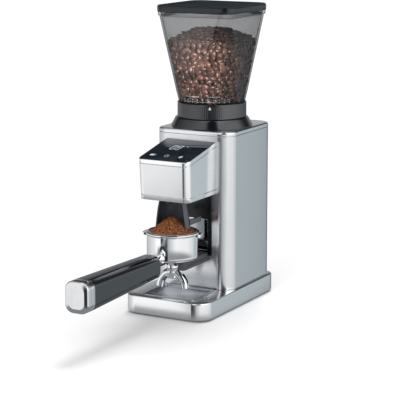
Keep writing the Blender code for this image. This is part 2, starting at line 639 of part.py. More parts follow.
def make_sweeper():
    blades, hub, tip, half = 4, 10.0, 39.0, 2.5
    points = []
    for blade in range(blades):
        angle = 2 * math.pi * blade / blades
        across = (-math.sin(angle), math.cos(angle))
        along = (math.cos(angle), math.sin(angle))
        root = math.sqrt(hub * hub - half * half)
        for reach, offset in ((root, -half), (tip, -half), (tip, half), (root, half)):
            points.append((along[0] * reach + across[0] * offset,
                           AXIS_Y + along[1] * reach + across[1] * offset))
        middle = angle + math.pi / blades
        points.append((hub * math.cos(middle), AXIS_Y + hub * math.sin(middle)))
    sweeper = prism("sweeper", points, 194.0, 199.4, "white_nylon", pivot=SHAFT_PIVOT)
    cut(sweeper, turned("sweeper_bore", [(SHAFT_RADIUS + GAP, 190.0), (SHAFT_RADIUS + GAP, 205.0)], steps=16))


def make_burr_shaft():
    turned("burr_shaft", [(3.4, 132.2), (SHAFT_RADIUS, 133.0), (SHAFT_RADIUS, 225.6), (3.4, 226.1)],
           "dark_steel", steps=16, pivot=SHAFT_PIVOT)
    for name, low in (("shaft_bearing_lower", 156.0), ("shaft_bearing_upper", 183.0)):
        turned(name, [(11.0, low), (11.0, low + 7.0), (SHAFT_RADIUS + GAP, low + 7.0),
                      (SHAFT_RADIUS + GAP, low)], "steel", closed=True)


# ---- gear train and motor ----
def gear_outline(teeth, centre, phase):
    """Teeth with straight flanks between the involute's root and tip points."""
    pitch = MODULE * teeth / 2
    base = pitch * math.cos(PRESSURE_ANGLE)
    half_pitch_angle = math.pi / (2 * teeth) - BACKLASH / (2 * pitch)

    def half_angle(radius):
        """Half of a tooth's angular width at a radius."""
        tilt = math.acos(min(1.0, base / radius))
        involute = math.tan(tilt) - tilt
        return half_pitch_angle + math.tan(PRESSURE_ANGLE) - PRESSURE_ANGLE - involute

    radii = (pitch - 1.25 * MODULE, pitch + MODULE)
    flank = [(radius, half_angle(max(radius, base))) for radius in radii]
    points = []
    for tooth in range(teeth):
        middle = phase + 2 * math.pi * tooth / teeth
        for side, order in ((-1, flank), (1, flank[::-1])):
            for radius, spread in order:
                angle = middle + side * spread
                points.append((centre[0] + radius * math.cos(angle), centre[1] + radius * math.sin(angle)))
    return points


def make_gears():
    axis, lay = (0.0, AXIS_Y), (0.0, LAY_Y)
    half_tooth = math.pi / LARGE_TEETH
    pinion = prism("motor_pinion", gear_outline(SMALL_TEETH, axis, 0.0), *FIRST_STAGE, "brass",
                   pivot=(0.0, AXIS_Y, FIRST_STAGE[0]))
    cut(pinion, turned("pinion_bore", [(2.3, 110.0), (2.3, 140.0)], steps=16))
    compound = prism("lay_gear", gear_outline(LARGE_TEETH, lay, half_tooth), *FIRST_STAGE, "white_nylon",
                     pivot=(0.0, LAY_Y, FIRST_STAGE[0]))
    join(compound, prism("lay_small_gear", gear_outline(SMALL_TEETH, lay, 0.0),
                         FIRST_STAGE[1] - 1.0, SECOND_STAGE[1] + 0.5))
    cut(compound, turned("lay_bore", [(3.4, 110.0), (3.4, 150.0)], centre=lay, steps=16))
    turned("lay_axle", [(2.7, 116.1), (3.0, 116.5), (3.0, 151.6), (2.7, 152.0)], "dark_steel", lay, steps=16)
    output = prism("output_gear", gear_outline(LARGE_TEETH, axis, half_tooth), *SECOND_STAGE, "white_nylon",
                   pivot=SHAFT_PIVOT)
    cut(output, turned("output_bore", [(SHAFT_RADIUS + GAP, 125.0), (SHAFT_RADIUS + GAP, 150.0)], steps=16))


POST_PLACES = ((-46.0, 102.0), (46.0, 102.0), (-46.0, 174.0), (46.0, 174.0))


def square(centre, half):
    return [(centre[0] + half * a, centre[1] + half * b) for a, b in ((1, 1), (-1, 1), (-1, -1), (1, -1))]


def make_gearbox_plates():
    outline = block(51.5, 96.5, 193.0, 8.0, 3)
    lower = prism("gearbox_plate", outline, *LOWER_PLATE, "aluminium")
    cut(lower, turned("plate_shaft_hole", [(5.0, 110.0), (5.0, 125.0)], steps=16))
    cut(lower, turned("plate_axle_hole", [(3.3, 110.0), (3.3, 125.0)], centre=(0.0, LAY_Y), steps=16))
    upper = prism("gearbox_cover", outline, *UPPER_PLATE, "aluminium")
    join(upper, prisms("cover_legs", [square(place, 3.5) for place in POST_PLACES],
                       LOWER_PLATE[1] + GAP, UPPER_PLATE[0] + 1.0))
    cut(upper, turned("cover_shaft_hole", [(9.0, 140.0), (9.0, 156.0)], steps=16))
    cut(upper, turned("cover_axle_hole", [(3.3, 140.0), (3.3, 156.0)], centre=(0.0, LAY_Y), steps=16))


def make_motor():
    can_bottom, can_top, radius, wall = 44.0, 113.0, 29.0, 2.0
    turned("motor_can", [(radius, can_bottom), (radius, can_top), (radius - wall, can_top),
                         (radius - wall, can_bottom + wall)], "dark_steel")
    turned("motor_end_cap", [(radius, can_top + GAP), (radius, 115.6), (4.0, 115.6), (4.0, can_top + GAP)],
           "black_plastic", closed=True)
    turned("armature", [(2.0, 46.6), (2.0, 55.0), (22.0, 55.0), (24.0, 58.0), (24.0, 94.0), (20.0, 99.0),
                        (8.5, 99.0), (8.5, 109.0), (2.0, 109.0), (2.0, 131.4)], "copper",
           steps=16, pivot=(0.0, AXIS_Y, 80.0))


def make_chassis():
    floor = (BASE_TOP + 2 * GAP, BASE_TOP + 3.6)
    chassis = prism("chassis", column_outline(SHEET + GAP), *floor, "black_plastic")
    join(chassis, prisms("chassis_posts", [square(place, 5.0) for place in POST_PLACES],
                         floor[1] - 1.0, LOWER_PLATE[0] - GAP))
    cut(chassis, prism("chassis_hole", block(28.0, 114.0, 188.0, 5.0, 3), 20.0, 40.0))


def make_main_board():
    outline = block(42.0, 42.0, 112.0, 1.0, 2)
    board = stack("main_board", [upright(outline, 201.0), upright(outline, 202.6)], "board_green")
    join(board, box("board_transformer", (-34.0, -8.0), (185.0, 201.8), (50.0, 74.0)))
    join(board, box("board_relay", (6.0, 22.0), (188.0, 201.8), (52.0, 66.0)))
    join(board, box("board_heat_sink", (-30.0, 30.0), (193.0, 201.8), (88.0, 104.0)))


# ---- portafilter ----
HANDLE_PIVOT = (0.0, CUP_Y, NECK_Z)
BASKET_RADIUS = 32.2


def grip_outline(share, inset):
    """Rounded section of the handle: share runs from 0 at the neck to 1 at the end."""
    half = 15.5 + 2.1 * share - inset
    low, high = 63.5 - 5.2 * share + inset, 96.4 + 3.2 * share - inset
    return block(half, low, high, 11.0 + 0.5 * share - inset * 0.6, 5)


def make_portafilter_cup():
    bore = BASKET_RADIUS + 0.5
    cup = turned("portafilter_cup", [
        (36.5, CUP_TOP - 0.4), (36.5, 114.6), (CUP_RADIUS, 113.6), (CUP_RADIUS, 84.5),
        (34.2, 81.2), (31.5, CUP_BOTTOM), (9.5, CUP_BOTTOM), (8.0, 77.5), (8.0, 66.0), (4.6, 66.0),
        (4.6, 82.5), (bore - 3.0, 82.5), (bore, 86.0), (bore, CUP_TOP), (36.1, CUP_TOP),
    ], "chrome", centre=(0.0, CUP_Y), closed=True, steps=WIDE_STEPS, pivot=HANDLE_PIVOT)
    for name, turn in (("right", LUG_TURN), ("left", LUG_TURN + math.pi)):
        along, across = (math.cos(turn), math.sin(turn)), (-math.sin(turn), math.cos(turn))
        corners = ((33.5, -8.0), (39.8, -8.0), (41.3, -5.5), (41.3, 5.5), (39.8, 8.0), (33.5, 8.0))
        outline = [(along[0] * reach + across[0] * offset, CUP_Y + along[1] * reach + across[1] * offset)
                   for reach, offset in corners]
        join(cup, prism("lug_" + name, outline, 111.2, 115.6))
    inside = CUP_Y - CUP_RADIUS + 1.5
    join(cup, turned_along_y("neck", [(5.5, inside), (5.5, GRIP_START + 0.4), (4.0, GRIP_START + 0.4),
                                      (4.0, -70.0)], NECK_Z, steps=12))


def make_portafilter_basket():
    wall = 0.7
    turned("portafilter_basket", [
        (BASKET_RADIUS - 3.0, 92.0), (BASKET_RADIUS, 96.0), (BASKET_RADIUS, CUP_TOP + GAP),
        (34.6, CUP_TOP + GAP), (34.6, CUP_TOP + 1.1), (BASKET_RADIUS - wall, CUP_TOP + 1.1),
        (BASKET_RADIUS - wall, 96.2), (BASKET_RADIUS - 3.4, 92.8),
    ], "chrome", centre=(0.0, CUP_Y), steps=WIDE_STEPS, pivot=HANDLE_PIVOT)


def make_ground_coffee():
    mound = [(29.8, 117.6), (24.6, 120.4), (21.6, 122.2), (15.0, 128.6), (8.0, 134.6), (3.0, 137.2)]
    turned("ground_coffee", [(27.5, 93.4), (30.9, 97.0), (30.9, 116.8)] + mound, "grounds",
           centre=(0.0, CUP_Y), pivot=HANDLE_PIVOT)


def spout_path(side, start, end):
    """Centre line of one outlet, from the hub out and down."""
    return [(side * x, CUP_Y, z) for x, z in (start, (9.0, 58.0), (14.5, 55.0), (18.6, 50.0), end)]


def make_portafilter_spout():
    hub_low, hub_high, channel = 51.5, 65.6, 3.6
    tip, past_tip = (22.0, 40.0), (22.4, 38.0)
    spout = turned("portafilter_spout", [(7.0, hub_low), (8.4, hub_low + 1.5), (8.4, hub_high - 1.0),
                                         (7.6, hub_high)], "chrome",
                   centre=(0.0, CUP_Y), steps=16, pivot=HANDLE_PIVOT)
    for name, side in SIDES:
        arm = sweep_rings(spout_path(side, (2.0, 58.5), tip), (6.0, 6.0, 5.8, 5.4, 4.6), 12)
        join(spout, stack("spout_arm_" + name, arm))
    for name, side in SIDES:
        bore = sweep_rings(spout_path(side, (0.0, 58.5), past_tip), (channel,) * 3 + (3.5, 3.3), 8)
        cut(spout, stack("spout_channel_" + name, bore))
    cut(spout, turned("spout_inlet", [(4.6, 58.5), (4.6, 70.0)], centre=(0.0, CUP_Y), steps=16))


def make_handle():
    start, end = GRIP_START, GRIP_END
    grip = stack("portafilter_grip", [
        upright(grip_outline(0.0, 5.0), start), upright(grip_outline(0.0, 2.0), start - 1.2),
        upright(grip_outline(0.02, 0.0), start - 5.0), upright(grip_outline(1.0, 0.0), end + GAP),
    ], "grip_black", pivot=HANDLE_PIVOT)
    cut(grip, turned_along_y("grip_bore", [(4.3, start + 5.0), (4.3, -71.0)], NECK_Z, steps=12))
    stack("portafilter_cap", [
        upright(grip_outline(1.0, 0.0), end), upright(grip_outline(1.0, 0.0), HANDLE_END + 4.0),
        upright(grip_outline(1.0, 1.0), HANDLE_END + 1.4), upright(grip_outline(1.0, 3.4), HANDLE_END + 0.2),
        upright(grip_outline(1.0, 6.5), HANDLE_END),
    ], "chrome", pivot=HANDLE_PIVOT)


def build():
    clear_scene()
    for make in (make_base_shell, make_base_plate, make_feet_and_screws, make_catch_tray, make_column_shell,
                 make_top_cover, make_vent_panel, make_cord_gland, make_bay, make_fork, make_head_shell,
                 make_head_top, make_head_floor, make_grounds_chute, make_spout_guard, make_collar_skirt,
                 make_grind_ring, make_bean_hopper, make_hopper_lid, make_coffee_beans,
                 make_grinding_chamber, make_burr_carrier, make_burrs, make_sweeper, make_burr_shaft,
                 make_gears, make_gearbox_plates, make_motor, make_chassis, make_main_board,
                 make_portafilter_cup, make_portafilter_basket, make_ground_coffee,
                 make_portafilter_spout, make_handle):
        make()


build()
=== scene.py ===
"""Looks of a burr coffee grinder with a docked portafilter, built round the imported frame.

Functions that make shapes work in millimetres in the frame's axes; make_mesh turns them into metres.
"""
import math
import random

import bmesh
import bpy
from mathutils import Matrix, Vector, noise


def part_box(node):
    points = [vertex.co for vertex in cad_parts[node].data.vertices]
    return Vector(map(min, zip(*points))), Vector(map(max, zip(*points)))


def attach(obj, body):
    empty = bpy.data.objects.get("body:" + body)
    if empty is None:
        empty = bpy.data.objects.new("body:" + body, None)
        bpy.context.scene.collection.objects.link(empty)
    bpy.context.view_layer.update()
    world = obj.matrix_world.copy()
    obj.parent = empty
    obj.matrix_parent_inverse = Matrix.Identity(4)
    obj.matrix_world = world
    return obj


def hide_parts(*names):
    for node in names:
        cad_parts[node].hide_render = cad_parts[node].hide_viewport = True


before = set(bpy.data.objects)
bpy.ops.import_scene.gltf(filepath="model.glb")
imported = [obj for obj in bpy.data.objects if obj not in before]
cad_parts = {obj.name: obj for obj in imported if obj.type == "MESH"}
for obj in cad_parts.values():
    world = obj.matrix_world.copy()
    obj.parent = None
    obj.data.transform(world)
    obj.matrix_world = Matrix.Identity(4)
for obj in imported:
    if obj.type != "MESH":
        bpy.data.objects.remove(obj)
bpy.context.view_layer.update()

MM = 0.001
CORNER = 14                    # segments in a quarter-circle corner
ROUND = 96                     # segments round a turned piece
GAP = 0.3                      # air between two neighbouring pieces


def span(node):
    """Lowest and highest corner of a CAD node, in millimetres."""
    low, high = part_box(node)
    return low / MM, high / MM


# ---- outlines: lists of 2-D points, counter-clockwise ----
def rectangle(low_a, high_a, low_b, high_b, radii, steps=CORNER):
    """Rectangle with a radius for each corner: (high, high), (low, high), (low, low), (high, low)."""
    corners = ((high_a, high_b, -1, -1), (low_a, high_b, 1, -1),
               (low_a, low_b, 1, 1), (high_a, low_b, -1, 1))
    points = []
    for number, ((a, b, to_a, to_b), radius) in enumerate(zip(corners, radii)):
        centre_a, centre_b = a + to_a * radius, b + to_b * radius
        for step in range(steps + 1):
            angle = math.radians(90 * number + 90 * step / steps)
            points.append((centre_a + radius * math.cos(angle), centre_b + radius * math.sin(angle)))
    return points


def block(half_a, low_b, high_b, radius, steps=CORNER):
    return rectangle(-half_a, half_a, low_b, high_b, (radius,) * 4, steps)


def circle(radius, centre=(0.0, 0.0), steps=ROUND):
    return [(centre[0] + radius * math.cos(2 * math.pi * i / steps),
             centre[1] + radius * math.sin(2 * math.pi * i / steps)) for i in range(steps)]


def flat(outline, z):
    return [(x, y, z) for x, y in outline]


def upright(outline, y):
    return [(x, y, z) for x, z in outline]


def edge_arc(radius, steps=5):
    """A rounded edge from the wall to the face: pairs of inset and depth below the face."""
    return [(radius * (1 - math.cos(math.pi / 2 * i / steps)),
             radius * (1 - math.sin(math.pi / 2 * i / steps))) for i in range(steps + 1)]


def top_edge(top, radius, steps=5):
    """Insets and heights of a rounded edge that ends in a face at the top."""
    return [(inset, top - depth) for inset, depth in edge_arc(radius, steps)]


def bottom_edge(bottom, radius, steps=5):
    return [(inset, bottom + depth) for inset, depth in edge_arc(radius, steps)[::-1]]


def layers(outline, levels):
    """Level rings of an outline function, from pairs of inset and height."""
    return [flat(outline(inset), z) for inset, z in levels]


def curve_through(points, per_span=6):
    """Catmull-Rom curve through points of any size."""
    padded = [points[0]] + list(points) + [points[-1]]
    made = []
    for i in range(len(points) - 1):
        for step in range(per_span):
            t = step / per_span
            made.append(tuple(0.5 * (2 * b + (c - a) * t + (2 * a - 5 * b + 4 * c - d) * t * t
                                     + (3 * b - a - 3 * c + d) * t ** 3)
                              for a, b, c, d in zip(*padded[i:i + 4])))
    made.append(tuple(points[-1]))
    return made


# ---- meshes ----
def add_stack(bm, rings, closed=False):
    """Bridge rings of equal length, and cap both ends unless the stack runs round into itself."""
    grid = [[bm.verts.new(point) for point in ring] for ring in rings]
    pairs = list(zip(grid, grid[1:]))
    if closed:
        pairs.append((grid[-1], grid[0]))
    else:
        bm.faces.new(grid[0])
        bm.faces.new(grid[-1])
    for lower, upper in pairs:
        for i, vertex in enumerate(lower):
            j = (i + 1) % len(lower)
            bm.faces.new((vertex, lower[j], upper[j], upper[i]))


def stack(rings, closed=False):
    bm = bmesh.new()
    add_stack(bm, rings, closed)
    return bm


def turned(profile, centre, closed=False, steps=ROUND):
    """Solid of revolution about an upright axis; the profile holds radius and height."""
    return stack([flat(circle(radius, centre, steps), z) for radius, z in profile], closed)


def turned_along_y(profile, x, z, closed=False, steps=48):
    return stack([upright(circle(radius, (x, z), steps), y) for radius, y in profile], closed)


def slab(outline, start, end):
    """An upright outline drawn out along y."""
    return stack([upright(outline, start), upright(outline, end)])


def brick(low, high):
    """Plain box between two corners, for cutters and small marks."""
    outline = [(high[0], high[1]), (low[0], high[1]), (low[0], low[1]), (high[0], low[1])]
    return stack([flat(outline, low[2]), flat(outline, high[2])])


def sweep(path, sections):
    """Sections of 2-D points carried along a path in a plane of constant y."""
    rings = []
    last = len(path) - 1
    side = Vector((0.0, 1.0, 0.0))
    for i, (point, section) in enumerate(zip(path, sections)):
        along = Vector(path[min(i + 1, last)]) - Vector(path[max(i - 1, 0)])
        along.normalize()
        up = along.cross(side).normalized()
        rings.append([tuple(Vector(point) + side * a + up * b) for a, b in section])
    return rings


def add_object(name, data):
    made = bpy.data.objects.new(name, data)
    bpy.context.scene.collection.objects.link(made)
    return made


def make_mesh(name, bm):
    """Turn a millimetre bmesh into an object in metres."""
    bmesh.ops.recalc_face_normals(bm, faces=bm.faces)
    bmesh.ops.scale(bm, verts=bm.verts, vec=(MM, MM, MM))
    mesh = bpy.data.meshes.new(name)
    bm.to_mesh(mesh)
    bm.free()
    return add_object(name, mesh)


def cut(target, operation, bm):
    """Boolean a bmesh into the target, and keep only the result."""
    tool = make_mesh("tool", bm)
    modifier = target.modifiers.new("cut", 'BOOLEAN')
    modifier.operation = operation
    modifier.object = tool
    graph = bpy.context.evaluated_depsgraph_get()
    mesh = bpy.data.meshes.new_from_object(target.evaluated_get(graph))
    target.modifiers.clear()
    target.data = mesh
    bpy.data.objects.remove(tool)


def piece(name, bm, finish, body, *nodes, slot=None, holes=(), joins=(), angle=32):
    """A visible piece with a named finish, riding on a body; it may stand for CAD nodes."""
    made = make_mesh(name, bm)
    for tool in joins:
        cut(made, 'UNION', tool)
    for tool in holes:
        cut(made, 'DIFFERENCE', tool)
    made.data.materials.clear()
    made.data.materials.append(finishes[finish])
    made.data.shade_smooth()
    made.data.set_sharp_from_angle(angle=math.radians(angle))
    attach(made, body)
    if nodes:
        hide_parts(*nodes)
    return made


# ---- materials ----
class Nodes:
    """A node tree with short helpers; an input takes a socket or a value, and a colour needs no alpha."""

    def __init__(self, tree):
        self.tree = tree

    def node(self, kind, inputs=None, **values):
        made = self.tree.nodes.new(kind)
        for key, value in values.items():
            setattr(made, key, value)
        for key, value in (inputs or {}).items():
            if isinstance(value, bpy.types.NodeSocket):
                self.tree.links.new(value, made.inputs[key])
            else:
                colour = made.inputs[key].type == 'RGBA' and len(value) == 3
                made.inputs[key].default_value = (*value, 1.0) if colour else value
        return made

    def math(self, operation, *values):
        return self.node("ShaderNodeMath", dict(enumerate(values)), operation=operation).outputs[0]

    def mix(self, factor, a, b, blend='MIX'):
        inputs = {0: factor, 6: a, 7: b}
        return self.node("ShaderNodeMix", inputs, data_type='RGBA', blend_type=blend).outputs[2]

    def ramp(self, source, stops):
        """Colour ramp from rows of a place and one grey or three channels."""
        made = self.node("ShaderNodeValToRGB", {"Fac": source})
        elements = made.color_ramp.elements
        for i, (place, *value) in enumerate(stops):
            element = elements[i] if i < len(elements) else elements.new(place)
            element.position = place
            element.color = (*(value if len(value) == 3 else value * 3), 1.0)
        return made.outputs["Color"]


class Finish(Nodes):
    """A Principled material with its procedural nodes."""

    def __init__(self, name, colour, roughness, metallic=0.0):
        self.material = bpy.data.materials.new(name)
        self.material.use_nodes = True
        super().__init__(self.material.node_tree)
        self.shader = self.tree.nodes["Principled BSDF"]
        self.set("Base Color", (*colour, 1.0))
        self.set("Roughness", roughness)
        self.set("Metallic", metallic)

    def set(self, socket, value):
        self.shader.inputs[socket].default_value = value

    def link(self, output, socket):
        self.tree.links.new(output, self.shader.inputs[socket])

    def noise(self, scale, detail, rough):
        """Noise in cells a metre, as one number or one for each axis."""
        scale = scale if isinstance(scale, tuple) else (scale,) * 3
        place = self.node("ShaderNodeTexCoord").outputs["Object"]
        mapped = self.node("ShaderNodeMapping", {"Vector": place, "Scale": scale}).outputs["Vector"]
        inputs = {"Vector": mapped, "Scale": 1.0, "Detail": detail, "Roughness": rough}
        return self.node("ShaderNodeTexNoise", inputs).outputs["Fac"]

    def between(self, source, low, high, from_low=0.3, from_high=0.7):
        inputs = {"Value": source, "From Min": from_low, "From Max": from_high,
                  "To Min": low, "To Max": high}
        return self.node("ShaderNodeMapRange", inputs).outputs["Result"]

    def shades(self, source, colour, low, high):
        """The colour, darkened or lightened by a factor where the source is low or high."""
        stops = [(0.3, *tinted(colour, low)), (0.7, *tinted(colour, high))]
        self.link(self.ramp(source, stops), "Base Color")

    def bump(self, height, strength, distance, lean=0.0):
        """Fine relief; lean is the slope by which fine ridges turn upright walls a little upwards."""
        relief = {"Height": height, "Strength": strength, "Distance": distance}
        if lean:
            place = self.node("ShaderNodeTexCoord").outputs["Object"]
            z = self.node("ShaderNodeSeparateXYZ", {0: place}).outputs["Z"]
            fall = self.between(z, 1.0, 0.0, 0.0, 1.0)
            ridges = self.node("ShaderNodeBump", {"Height": fall, "Strength": 1.0, "Distance": lean})
            relief["Normal"] = ridges.outputs["Normal"]
        self.link(self.node("ShaderNodeBump", relief).outputs["Normal"], "Normal")


def tinted(colour, factor):
    return tuple(min(1.0, value * factor) for value in colour)


def brushed(name, colour, roughness, stretch, depth=0.03):
    """Brushed sheet metal: fine lines along the axis with the small scale, and faint handling marks."""
    made = Finish(name, colour, roughness, 1.0)
    lines = made.noise(stretch, 4.0, 0.7)
    marks = made.noise(22.0, 3.0, 0.6)
    made.set("Anisotropic", 0.75)
    made.set("Anisotropic Rotation", 0.25)
    made.shades(lines, colour, 0.965, 1.03)
    both = made.math('ADD', lines, marks)
    made.link(made.between(both, roughness * 0.82, roughness * 1.22, 0.75, 1.25), "Roughness")
    made.bump(lines, depth, 0.0001)
    return made.material


def polished(name, colour, roughness):
    """Plated metal with a very faint waviness and wiping marks."""
    made = Finish(name, colour, roughness, 1.0)
    smears = made.noise(60.0, 4.0, 0.65)
    made.link(made.between(smears, roughness * 0.6, roughness * 1.9), "Roughness")
    made.bump(made.noise(45.0, 1.0, 0.4), 0.03, 0.0004)
    return made.material


def machined(name, colour, roughness):
    """Turned or ground metal of the inner pieces."""
    made = Finish(name, colour, roughness, 1.0)
    grain = made.noise((900.0, 900.0, 2200.0), 3.0, 0.6)
    made.shades(made.noise(70.0, 4.0, 0.6), colour, 0.82, 1.08)
    made.link(made.between(grain, roughness * 0.8, roughness * 1.3), "Roughness")
    made.bump(grain, 0.08, 0.0001)
    return made.material


def moulded(name, colour, roughness, grain=1500.0, depth=0.10, specular=1.0, lean=0.0):
    """Moulded plastic or rubber: fine spark-eroded grain with a soft change of gloss."""
    made = Finish(name, colour, roughness)
    made.set("Specular IOR Level", specular)
    broad = made.noise(35.0, 3.0, 0.6)
    made.shades(broad, colour, 0.85, 1.15)
    made.link(made.between(broad, roughness * 0.85, roughness * 1.15), "Roughness")
    made.bump(made.noise(grain, 2.0, 0.5), depth, 0.00008, lean)
    return made.material


def smoked(name, tint, roughness, shine_share):
    """Thin clear smoked plastic: tinted light straight through, and a glossy share that grows edge-on."""
    made = Finish(name, tint, roughness)
    made.tree.nodes.remove(made.shader)
    facing = made.node("ShaderNodeLayerWeight", {"Blend": 0.5}).outputs["Facing"]
    stops = [(place, *tinted(tint, factor)) for place, factor in (
        (0.0, 1.0), (0.55, 0.97), (0.7, 0.68), (1.0, 0.25))]
    see = made.node("ShaderNodeBsdfTransparent", {"Color": made.ramp(facing, stops)})
    streaks = made.between(made.noise((40.0, 40.0, 12.0), 3.0, 0.6), roughness * 0.7, roughness * 1.4)
    shine = made.node("ShaderNodeBsdfGlossy", {"Color": (0.9, 0.93, 0.96), "Roughness": streaks})
    share = made.between(made.math('POWER', facing, 5.0), shine_share, 0.12, 0.0, 1.0)
    mixed = made.node("ShaderNodeMixShader", {0: share, 1: see.outputs[0], 2: shine.outputs[0]})
    made.tree.links.new(mixed.outputs[0], made.tree.nodes["Material Output"].inputs["Surface"])
    return made.material


def printed(name, colour, glow=0.0):
    made = Finish(name, colour, 0.5)
    worn = made.noise(800.0, 2.0, 0.5)
    made.link(made.ramp(worn, [(0.25, *tinted(colour, 0.85)), (0.6, *colour)]), "Base Color")
    if glow:
        made.set("Emission Color", (*colour, 1.0))
        made.set("Emission Strength", glow)
    return made.material


def bean_skin(name):
    """Roasted beans: every bean has its own tone, with painted shade darkening its crease."""
    made = Finish(name, (0.1, 0.04, 0.02), 0.38)
    tone, crease = (made.node("ShaderNodeAttribute", attribute_name=key).outputs["Fac"]
                    for key in ("tone", "crease"))
    skin = made.ramp(tone, [(0.0, 0.050, 0.026, 0.022), (0.45, 0.122, 0.066, 0.054),
                            (0.8, 0.215, 0.125, 0.096), (1.0, 0.37, 0.24, 0.17)])
    mottle = made.noise(420.0, 3.0, 0.6)
    mottled = made.mix(1.0, skin, made.ramp(mottle, [(0.3, 0.65), (0.7, 1.0)]), 'MULTIPLY')
    # painted shade: the crease attribute mixes near-black into the skin along each bean's groove
    made.link(made.mix(crease, mottled, (0.02, 0.008, 0.005)), "Base Color")
    made.set("Specular IOR Level", 1.0)
    made.link(made.between(mottle, 0.24, 0.40), "Roughness")
    made.bump(mottle, 0.12, 0.0004)
    return made.material


def grounds_skin(name):
    made = Finish(name, (0.30, 0.11, 0.04), 0.9)
    grains = made.noise(700.0, 4.0, 0.75)
    both = made.math('ADD', grains, made.noise(320.0, 3.0, 0.6))
    made.link(made.ramp(made.math('MULTIPLY', both, 0.5), [
        (0.38, 0.035, 0.010, 0.004), (0.49, 0.20, 0.062, 0.020), (0.62, 0.50, 0.20, 0.075)]), "Base Color")
    made.bump(grains, 0.9, 0.0012)
    return made.material


PANEL_LINES = (9.0, 9.0, 1500.0)          # lines that run level round the object
UPRIGHT_LINES = (1500.0, 1500.0, 9.0)
TOP_LINES = (9.0, 1500.0, 1500.0)         # lines that run across a level face
FINISHES = {
    "head_steel": (brushed, (0.96, 0.96, 0.96), 0.13, PANEL_LINES),
    "column_steel": (brushed, (0.76, 0.77, 0.78), 0.19, UPRIGHT_LINES),
    "base_steel": (brushed, (0.85, 0.85, 0.855), 0.13, PANEL_LINES),
    "cover_steel": (brushed, (0.80, 0.805, 0.81), 0.16, TOP_LINES),
    "tray_steel": (brushed, (0.52, 0.53, 0.56), 0.27, TOP_LINES),
    "chrome": (polished, (0.90, 0.905, 0.91), 0.05),
    "cap_chrome": (polished, (0.70, 0.705, 0.71), 0.07),
    "basket_steel": (polished, (0.60, 0.60, 0.61), 0.16),
    "frame_steel": (polished, (0.85, 0.86, 0.87), 0.10),
    "mirror": (polished, (0.36, 0.37, 0.38), 0.05),
    "satin_black": (moulded, (0.005, 0.007, 0.009), 0.12, dict(depth=0.02)),
    "ring_black": (moulded, (0.008, 0.010, 0.013), 0.22, dict(depth=0.02, lean=0.12)),
    "lid_black": (moulded, (0.005, 0.008, 0.010), 0.20, dict(specular=0.48, depth=0.03)),
    "panel_black": (moulded, (0.009, 0.014, 0.016), 0.35, dict(depth=0.03, specular=0.001)),
    "bay_black": (moulded, (0.010, 0.011, 0.013), 0.26, dict(specular=0.4)),
    "guard_black": (moulded, (0.045, 0.052, 0.064), 0.36),
    "grip_black": (moulded, (0.006, 0.008, 0.010), 0.09, dict(grain=600.0, depth=0.015)),
    "glass_black": (moulded, (0.008, 0.014, 0.022), 0.05, dict(grain=90.0, depth=0.01, specular=0.24)),
    "fork_grey": (moulded, (0.055, 0.055, 0.066), 0.42, dict(specular=0.5)),
    "rubber": (moulded, (0.018, 0.018, 0.018), 0.75, dict(depth=0.3, specular=0.4)),
    "white_nylon": (moulded, (0.74, 0.73, 0.68), 0.42, dict(specular=0.5)),
    "board_green": (moulded, (0.03, 0.16, 0.07), 0.42, dict(grain=400.0, specular=0.5)),
    "dark_steel": (machined, (0.35, 0.36, 0.38), 0.35),
    "burr_steel": (machined, (0.46, 0.46, 0.47), 0.28),
    "aluminium": (machined, (0.68, 0.68, 0.69), 0.42),
    "brass": (machined, (0.75, 0.58, 0.28), 0.3),
    "copper": (machined, (0.62, 0.33, 0.20), 0.4),
    "smoked": (smoked, (0.728, 0.728, 0.728), 0.04, 0.045),
    "clear": (smoked, (0.93, 0.93, 0.935), 0.06, 0.02),
    "white_print": (printed, (0.80, 0.81, 0.82)),
    "faint_print": (printed, (0.66, 0.67, 0.68)),
    "display_glow": (printed, (0.78, 0.86, 0.93), 0.9),
    # black print of the bean symbol's crease, and the painted reflection wedge on the grind ring
    "black_print": (printed, (0.004, 0.004, 0.005)),
    # near-black core of the bean heap: painted shade for the beans and gaps in shadow
    "bean_core": (moulded, (0.030, 0.015, 0.010), 0.8, dict(specular=0.2)),
    "bean_skin": (bean_skin,),
    "grounds_skin": (grounds_skin,),
}


def make_finish(name, maker, *values):
    """Call a maker with a row of the table, whose last entry may hold settings by name."""
    settings = values[-1] if values and isinstance(values[-1], dict) else {}
    return maker(name, *values[:len(values) - bool(settings)], **settings)


finishes = {name: make_finish(name, *row) for name, row in FINISHES.items()}

# finish of each CAD node that keeps its own shape
KEPT = {
    "dark_steel": ("base_plate", "base_screw_front_left", "base_screw_front_right", "base_screw_rear_left",
                   "base_screw_rear_right", "fork_screw_left", "fork_screw_right", "motor_can", "burr_bolt",
                   "burr_shaft", "lay_axle"),
    "satin_black": ("vent_panel", "motor_end_cap", "burr_carrier", "chassis", "display_module"),
    "bay_black": ("grounds_chute",),
    "white_nylon": ("sweeper", "lay_gear", "output_gear"),
    "board_green": ("main_board", "control_board"),
    "burr_steel": ("ring_burr", "cone_burr"),
    "aluminium": ("grinding_chamber", "gearbox_plate", "gearbox_cover"),
    "cover_steel": ("shaft_bearing_lower", "shaft_bearing_upper"),
    "brass": ("motor_pinion",),
    "copper": ("armature",),
}


def dress_cad_nodes():
    for finish, nodes in KEPT.items():
        for node in nodes:
            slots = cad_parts[node].data.materials
            for number in range(len(slots)):
                slots[number] = finishes[finish]


